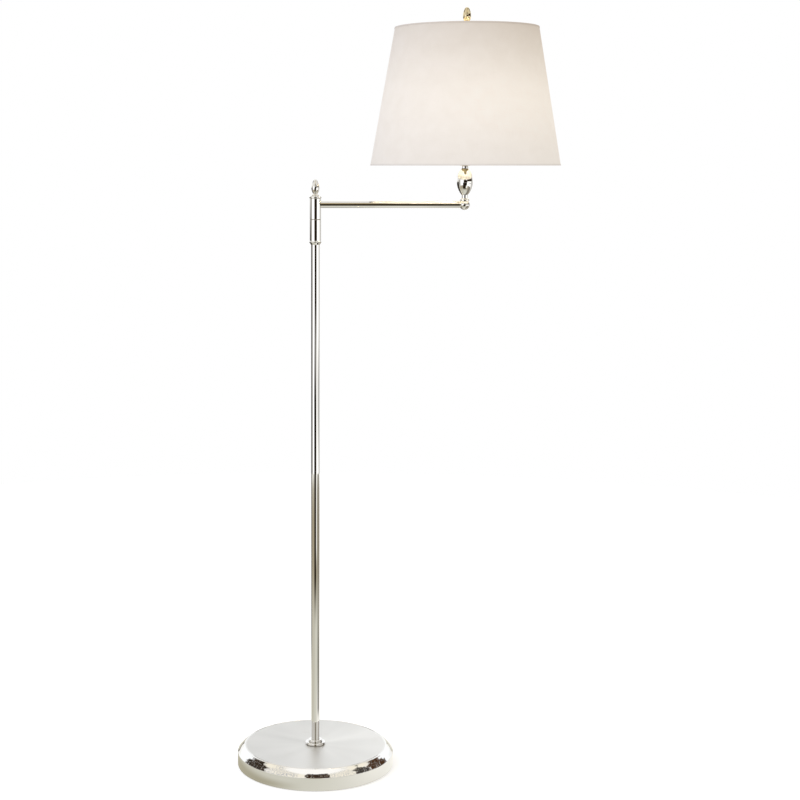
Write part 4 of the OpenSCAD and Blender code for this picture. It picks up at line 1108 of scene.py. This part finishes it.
class LAMP_OT_lampholder(Operator):
    """Makes the lampholder's beaded cap and shell, its turn key and the bulb's glass"""

    bl_idname = "lamp.lampholder"
    bl_label = "Lampholder and bulb"

    def execute(self, context):
        self.draw_cap_and_shell(slot_material("brass"))
        self.make_key(middle("switch_knob", "z"))
        self.blow_bulb()
        return {"FINISHED"}

    def draw_cap_and_shell(self, brass):
        """The cap widens into a rim that takes the shell, which two rolled beads stiffen."""
        outer, (z0, z1), wall = half("socket_cap"), span("socket_cap"), 0.65 * MM
        body = outer - 1 * MM
        cap = turn("socket_cap_drawn", rounded([
            (THREAD_R, z0), (body, z0, 2.4 * MM), (body, z1 - 4 * MM, 0.5 * MM),
            (outer, z1 - 3.4 * MM, 0.5 * MM), (outer, z1, 0.25 * MM), (outer - wall, z1),
            (outer - wall, z1 - 3.2 * MM, 0.4 * MM), (body - wall, z1 - 3.8 * MM, 0.4 * MM),
            (body - wall, z0 + 2 * wall, 1.2 * MM), (THREAD_R, z0 + 2 * wall)]), HEAD_AXIS)
        dress(cap, "swing_arm", "brass", brass, replaces=["socket_cap"])

        radius, (z0, z1), inner = half("socket_shell"), span("socket_shell"), 15.75 * MM
        plain, lip = radius - 0.35 * MM, 0.3 * MM
        path = [(inner, z0), (radius - 0.15 * MM, z0)]
        for bead in (z1 - 20 * MM, z1 - 9 * MM):
            path += [(plain, bead - 1.6 * MM), *arc(radius - 0.75 * MM, bead, 0.75 * MM, -60, 60, 6),
                     (plain, bead + 1.6 * MM)]
        path += [*arc(radius - lip, z1 - lip, lip, 0, 180, 6), (inner, z1 - 0.5 * MM)]
        shell = turn("socket_shell_drawn", path, HEAD_AXIS)
        drill(shell, 6.4 * MM, 20 * MM, (HEAD_X - radius, 0, middle("switch_knob", "z")),
              (0, math.pi / 2, 0), sides=32)
        dress(shell, "swing_arm", "brass", brass, replaces=["socket_shell"])

    def make_key(self, z):
        """The switch's key: a stem, a small hub and a flat grip with a rounded end."""
        tip, stem_in = span("switch_knob", "x")
        hub_in, hub_out = HEAD_X - 23 * MM, HEAD_X - 26.5 * MM
        stem_r, hub_r, neck_r, stem_out = 2 * MM, 3 * MM, 1.7 * MM, hub_out - 3 * MM
        stem = turn("switch_key", rounded([
            (0, stem_in), (stem_r, stem_in), (stem_r, hub_in), (hub_r, hub_in, 0.3 * MM),
            (hub_r, hub_out, 0.6 * MM), (neck_r, hub_out), (neck_r, stem_out), (0, stem_out)],
            closed=False), (0, 0, z), "X", closed=False, steps=48)

        pick_up()
        length = hub_out - tip
        bpy.ops.mesh.primitive_cube_add(size=1, location=((tip + hub_out) / 2, 0, z))
        grip = bpy.context.object
        grip.scale = (length, 3.5 * MM, 2 * half("switch_knob", "z"))
        bpy.ops.object.transform_apply()
        bpy.ops.object.mode_set(mode="EDIT")
        bpy.ops.mesh.select_all(action="SELECT")
        bpy.ops.mesh.subdivide(number_cuts=11)
        bpy.ops.object.mode_set(mode="OBJECT")
        widens_to, rounds_from = 0.35, 0.45
        for vertex in grip.data.vertices:
            p = vertex.co
            along, across = (hub_out - p.x) / length, p.z - z
            if along < widens_to:
                across *= 0.62 + 0.38 * along / widens_to
            elif along > rounds_from:
                across *= math.sqrt(1 - 0.96 * ((along - rounds_from) / (1 - rounds_from)) ** 2)
            p.y, p.z = p.y * (1 - 0.28 * along), z + across
        work(grip, "BEVEL", width=0.5 * MM, segments=3, limit_method="ANGLE", angle_limit=math.radians(40))

        pick_up(stem, grip)
        bpy.ops.object.join()
        bpy.ops.object.shade_smooth_by_angle(angle=SMOOTH_ANGLE)
        dress(stem, "switch_key", "black_plastic", slot_material("black_plastic"), replaces=["switch_knob"])

    def blow_bulb(self):
        """Blown glass: a neck that flares into the ball."""
        foot_z, base_z = low("bulb_glass", "z"), high("bulb_base", "z")
        foot, neck, ball = half("bulb_base") - 0.5 * MM, 14.6 * MM, half("bulb_glass")
        to_neck = Vector((neck, base_z + 7.3 * MM - BULB_Z))
        touch = math.atan2(to_neck.y, to_neck.x) + math.acos(ball / to_neck.length)
        round_part = arc(0, BULB_Z, ball, math.degrees(touch), 90, 36)
        outline = rounded([
            (0, foot_z), (foot, foot_z), (foot, base_z + 0.3 * MM, 1 * MM),
            (neck, base_z + 7.3 * MM, 6 * MM), round_part[0]], closed=False)
        bulb = turn("bulb_glass_blown", [*outline, *round_part[1:-1], (0, BULB_Z + ball)],
                    HEAD_AXIS, closed=False)
        dress(bulb, "swing_arm", "bulb_glass", slot_material("bulb_glass"), replaces=["bulb_glass"])


class LAMP_OT_solids(Operator):
    """Gives each CAD node that stays in view the finish of its slot"""

    bl_idname = "lamp.solids"
    bl_label = "Finishes of the solids"

    def execute(self, context):
        for name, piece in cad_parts.items():
            if piece.hide_render:
                continue
            if not piece.material_slots:
                raise RuntimeError(f"{name} has no material slot")
            for held in piece.material_slots:
                held.material = slot_material(held.material.name.split(".")[0])
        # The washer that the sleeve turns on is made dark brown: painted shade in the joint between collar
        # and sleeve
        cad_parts["thrust_washer"].material_slots[0].material = worked_metal(
            "greased_brass", (0.20, 0.16, 0.10), 0.35, 0.3, 0.1, POLE_AXIS)
        return {"FINISHED"}


# ---------------- studio


# Cards and flags that the polished metal mirrors: azimuth from the camera's side, elevation, half
# width, half height, softness, colour. Later ones lie over earlier ones
STUDIO = [
    (0, 76, 180, 14, 4, (1.24, 1.23, 1.21)),
    (0, 54, 180, 9, 6, (1.14, 1.08, 0.93)),
    (0, 34, 52, 16, 6, (0.92, 0.91, 0.88)),
    (0, 15, 60, 9, 4, (0.86, 0.85, 0.82)),
    (0, 34, 11, 16, 4, (0.86, 0.73, 0.48)),
    (0, 15, 10, 9, 3, (0.45, 0.37, 0.21)),
    (180, 47, 42, 12, 5, (0.65, 0.62, 0.55)),
    (180, 20, 60, 17, 8, (1.24, 1.27, 1.30)),
    (-45, -12, 27, 20, 6, (1.45, 1.46, 1.48)),
    (56, -10, 46, 22, 6, (1.42, 1.41, 1.38)),
    (-92, -10, 18, 16, 5, (0.50, 0.49, 0.46)),
    (120, -10, 24, 16, 8, (0.72, 0.71, 0.68)),
    (88, -8.2, 24, 1.6, 1.2, (0.60, 0.59, 0.57)),
    (160, -9, 10, 8, 2, (0.30, 0.26, 0.26)),
    (-148, -16.5, 44, 15, 1.5, (0.03, 0.027, 0.022)),
    (74, 8, 43, 8, 1.2, (0.04, 0.026, 0.018)),
    (5, 0, 27, 6.5, 2, (0.012, 0.009, 0.006)),
    (-3, -20, 30, 13.5, 2, (0.012, 0.009, 0.006)),
    (0, 18, 8, 13, 2, (0.075, 0.055, 0.018)),
]
# Flags with ragged edges and holes, which the base's band mirrors
FLAGS = [
    (5, 60, 26, 7.5, 1.5, (0.035, 0.018, 0.010)),
    (-112, 33, 17, 13, 2, (0.03, 0.020, 0.012)),
    (90, 45, 11, 9, 1.5, (0.05, 0.046, 0.042)),
    (116, 30, 15, 13, 1.5, (0.07, 0.032, 0.014)),
]
# Pale fittings that only streak the mirrored ceiling
STREAKS = [
    (-68, 52, 30, 11, 3, (0.50, 0.52, 0.58)),
    (58, 56, 26, 10, 3, (0.62, 0.62, 0.62)),
]
# The mirrored floor's tones away from the lamp: where each begins and is full, colour
FLOOR_TONES = [
    (0.9, 1.7, (0.46, 0.40, 0.29)),
    (2.2, 2.9, (0.58, 0.54, 0.45)),
    # It meets the room's lower wall without an edge
    (2.72, 3.04, (0.88, 0.86, 0.80)),
]
# The dark side that the camera stands on, a leg of the stand at the right, and a pale gap between
# them: azimuth, half width, where each begins and is full, colour
FLOOR_CARDS = [
    (-4, 27, 0.90, 1.5, (0.03, 0.022, 0.012)),
    (86, 20, 0.26, 0.34, (0.06, 0.05, 0.04)),
    (86, 22, 0.7, 1.1, (0.28, 0.26, 0.22)),
    (33, 12, 1.5, 1.9, (1.15, 1.13, 1.08)),
    (-148, 40, 0.5, 0.9, (0.10, 0.09, 0.07)),
]
# How strong the room's light is from the left and from the right, and how each is tinted
LEFT_LIGHT, LEFT_TINT = 1.07, (0.97, 1.06, 1.26)
RIGHT_LIGHT, RIGHT_TINT = 0.94, (1.03, 0.98, 0.90)
WHITE = (1, 1, 1, 1)


def azimuth_of(x, y):
    """Azimuth of a direction in degrees, 0 towards the camera and positive to its right."""
    return maths("ARCTAN2", x, y * -1.0) * DEGREES


class LAMP_OT_stage(Operator):
    """Lays the floor, lights the studio and sets the camera"""

    bl_idname = "lamp.stage"
    bl_label = "Stage"

    def execute(self, context):
        stage = context.scene.lamp_stage
        self.lay_floor(stage)
        self.light_room(context.scene, stage)
        self.hang_soft_light()
        self.set_camera(context.scene, stage)
        context.scene.view_settings.view_transform = "Standard"
        return {"FINISHED"}

    def lay_floor(self, stage):
        """A pale disc that keeps the lamp's shadow, and a warmer, darker one in the metal's mirror."""
        pick_up()
        bpy.ops.mesh.primitive_circle_add(vertices=96, radius=stage.floor_radius, fill_type="NGON")
        floor = bpy.context.object
        floor.name = floor.data.name = "studio_floor"
        material, tree, shader = new_material("studio_floor")
        place = own_place(tree)
        grain, _ = fine_grain(tree, place, size=0.004)
        feed(shader.inputs["Base Color"], blend(grain * 0.04, (0.86, 0.86, 0.86), (0.80, 0.80, 0.80)))
        feed(shader.inputs["Roughness"], 0.9)
        feed(shader.inputs["Specular IOR Level"], 0.0)
        pale = Signal(tree, shader.outputs[0])
        in_view = signal(tree, "AddShader", [pale, signal(tree, "Emission", [WHITE, 0.42])])
        mirrored = signal(tree, "Emission", [self.mirrored_floor(tree, place), 1.0])
        kept = signal(tree, "MixShader", [ray(tree, "Camera"), pale, in_view])
        kept = signal(tree, "MixShader", [ray(tree, "Glossy"), kept, mirrored])
        below = signal(tree, "NewGeometry", out="Backfacing")
        through = signal(tree, "MixShader", [below, kept, signal(tree, "BsdfTransparent")])
        output = next(n for n in tree.nodes if n.type == "OUTPUT_MATERIAL")
        feed(output.inputs[0], through)
        arrange(tree)
        floor.data.materials.append(material)

    def mirrored_floor(self, tree, place):
        """The colour that polished metal sees of the floor."""
        x, y, _ = axes(place)
        radius = maths("SQRT", x * x + y * y)
        azimuth = azimuth_of(x, y)
        # In the metal's mirror the floor is darker at the left: painted shade
        seen = blend(fade(x, -0.35, -0.05, 1.0, 0.0), (0.77, 0.76, 0.67), (0.66, 0.64, 0.54))
        # A painted shadow beside the base at the left, and a painted pool of light under the shade
        painted_base_shadow = fade(radius, 0.165, 0.20, 1.0, 0.0) * fade(x, -0.12, -0.02, 1.0, 0.0)
        seen = blend(painted_base_shadow, seen, (0.50, 0.47, 0.36))
        pool = vectors("DISTANCE", place, (0.33, -0.02, 0), out="Value")
        seen = blend(fade(pool, 0.10, 0.42, 1.0, 0.0), seen, (1.10, 1.08, 1.02))
        for begins, full, colour in FLOOR_TONES:
            seen = blend(fade(radius, begins, full), seen, colour)
        for centre, wide, begins, full, colour in FLOOR_CARDS:
            card = studio_card(tree, azimuth, 0.0, centre, 0.0, wide, 10.0, 3.0)
            seen = blend(card * fade(radius, begins, full), seen, colour)
        return seen

    def light_room(self, scene, stage):
        """White to the camera, even light on the lamp, and the studio's cards in polished metal."""
        scene.world = world = bpy.data.worlds.new("studio")
        world.use_nodes = True
        tree = world.node_tree
        tree.nodes.clear()
        x, _, _ = axes(signal(tree, "TexCoord", out="Generated"))
        left = tuple(LEFT_LIGHT * v * tint for v, tint in zip(stage.light, LEFT_TINT))
        right = tuple(RIGHT_LIGHT * v * tint for v, tint in zip(stage.light, RIGHT_TINT))
        colour = blend(fade(x, -1.0, 1.0), left, right)
        colour = blend(ray(tree, "Glossy"), colour, self.mirrored_room(tree))
        colour = blend(ray(tree, "Transmission"), colour, (0.92, 0.92, 0.92))
        colour = blend(ray(tree, "Camera"), colour, WHITE)
        node(tree, "OutputWorld", [signal(tree, "Background", [colour, 1.0])])
        arrange(tree)

    def mirrored_room(self, tree):
        """The colour that polished metal sees of the studio."""
        direction = signal(tree, "TexCoord", out="Generated")
        x, y, z = axes(direction)
        azimuth, elevation = azimuth_of(x, y), maths("ARCSINE", z) * DEGREES
        seen = blend(fade(elevation, -30.0, 30.0), (0.94, 0.90, 0.82), (1.04, 1.02, 0.98))
        flat = joined(azimuth, elevation * 2.0, 0.0)
        stray = (noise(flat, 0.16, 3.0) - 0.5) * 14.0
        streaks = noise(flat, 0.30, 4.0, 0.7)
        ragged = azimuth + stray, elevation + stray * 0.5
        for cards, (az, el), cover in ((STUDIO, (azimuth, elevation), None),
                                       (STREAKS, ragged, remap(streaks, 0.46, 0.60, 0.0, 0.9)),
                                       (FLAGS, ragged, remap(streaks, 0.54, 0.64, 1.0, 0.45))):
            for *card, colour in cards:
                mask = studio_card(tree, az, el, *card)
                seen = blend(mask * cover if cover else mask, seen, colour)
        # The room's small things break up every large tone
        clutter = fade(noise(direction, 26.0, 3.0), 0.52, 0.68)
        return blend(clutter, seen, (0.055, 0.028, 0.012), "ADD")

    def hang_soft_light(self):
        """A soft lamp at the upper left, which gives the floor its shadow."""
        pick_up()
        bpy.ops.object.light_add(type="AREA", location=(-1.9, -2.2, 2.5))
        soft = bpy.context.object
        soft.name = soft.data.name = "soft_light"
        soft.data.shape, soft.data.size, soft.data.energy = "DISK", 1.8, 16
        soft.data.color = (1.0, 0.98, 0.95)
        towards = Vector((0.1, 0, 0.8)) - soft.location
        soft.rotation_euler = towards.to_track_quat("-Z", "Y").to_euler()
        soft.visible_glossy = soft.visible_camera = False

    def set_camera(self, scene, stage):
        """The camera at the photograph's place."""
        pick_up()
        bpy.ops.object.camera_add(location=(0, -stage.distance, stage.height),
                                  rotation=(math.pi / 2 - stage.pitch, 0, 0))
        camera = scene.camera = bpy.context.object
        camera.name = camera.data.name = "studio_camera"
        camera.data.lens, camera.data.sensor_width = stage.lens, 36
        camera.data.shift_x = stage.shift
        camera.data.clip_start, camera.data.clip_end = 0.05, 50
        camera.data.dof.use_dof = False


class VIEW3D_PT_bridge_lamp(Panel):
    """Sizes, colours and the steps that dress the lamp"""

    bl_label = "Bridge Lamp"
    bl_idname = "VIEW3D_PT_bridge_lamp"
    bl_space_type = "VIEW_3D"
    bl_region_type = "UI"
    bl_category = "Bridge Lamp"

    def draw(self, context):
        scene = context.scene
        for title, group in (("Sizes", scene.lamp_shapes), ("Finishes", scene.lamp_finishes),
                             ("Stage", scene.lamp_stage)):
            box = self.layout.box()
            box.label(text=title)
            for name in group.__annotations__:
                box.prop(group, name)
        steps = self.layout.column(align=True)
        for operator in OPERATORS:
            steps.operator(operator.bl_idname)


OPERATORS = (LAMP_OT_base, LAMP_OT_pole, LAMP_OT_arm, LAMP_OT_shade, LAMP_OT_lampholder, LAMP_OT_solids,
             LAMP_OT_stage)
CLASSES = (LampShapes, LampFinishes, LampStage, *OPERATORS, VIEW3D_PT_bridge_lamp)


def register():
    for kind in CLASSES:
        bpy.utils.register_class(kind)
    bpy.types.Scene.lamp_shapes = PointerProperty(type=LampShapes)
    bpy.types.Scene.lamp_finishes = PointerProperty(type=LampFinishes)
    bpy.types.Scene.lamp_stage = PointerProperty(type=LampStage)


def unregister():
    del bpy.types.Scene.lamp_shapes, bpy.types.Scene.lamp_finishes, bpy.types.Scene.lamp_stage
    for kind in reversed(CLASSES):
        bpy.utils.unregister_class(kind)


def main():
    register()
    bpy.ops.lamp.base()
    bpy.ops.lamp.pole()
    bpy.ops.lamp.arm()
    bpy.ops.lamp.shade()
    bpy.ops.lamp.lampholder()
    bpy.ops.lamp.solids()
    bpy.ops.lamp.stage()


if __name__ == "__main__":
    main()
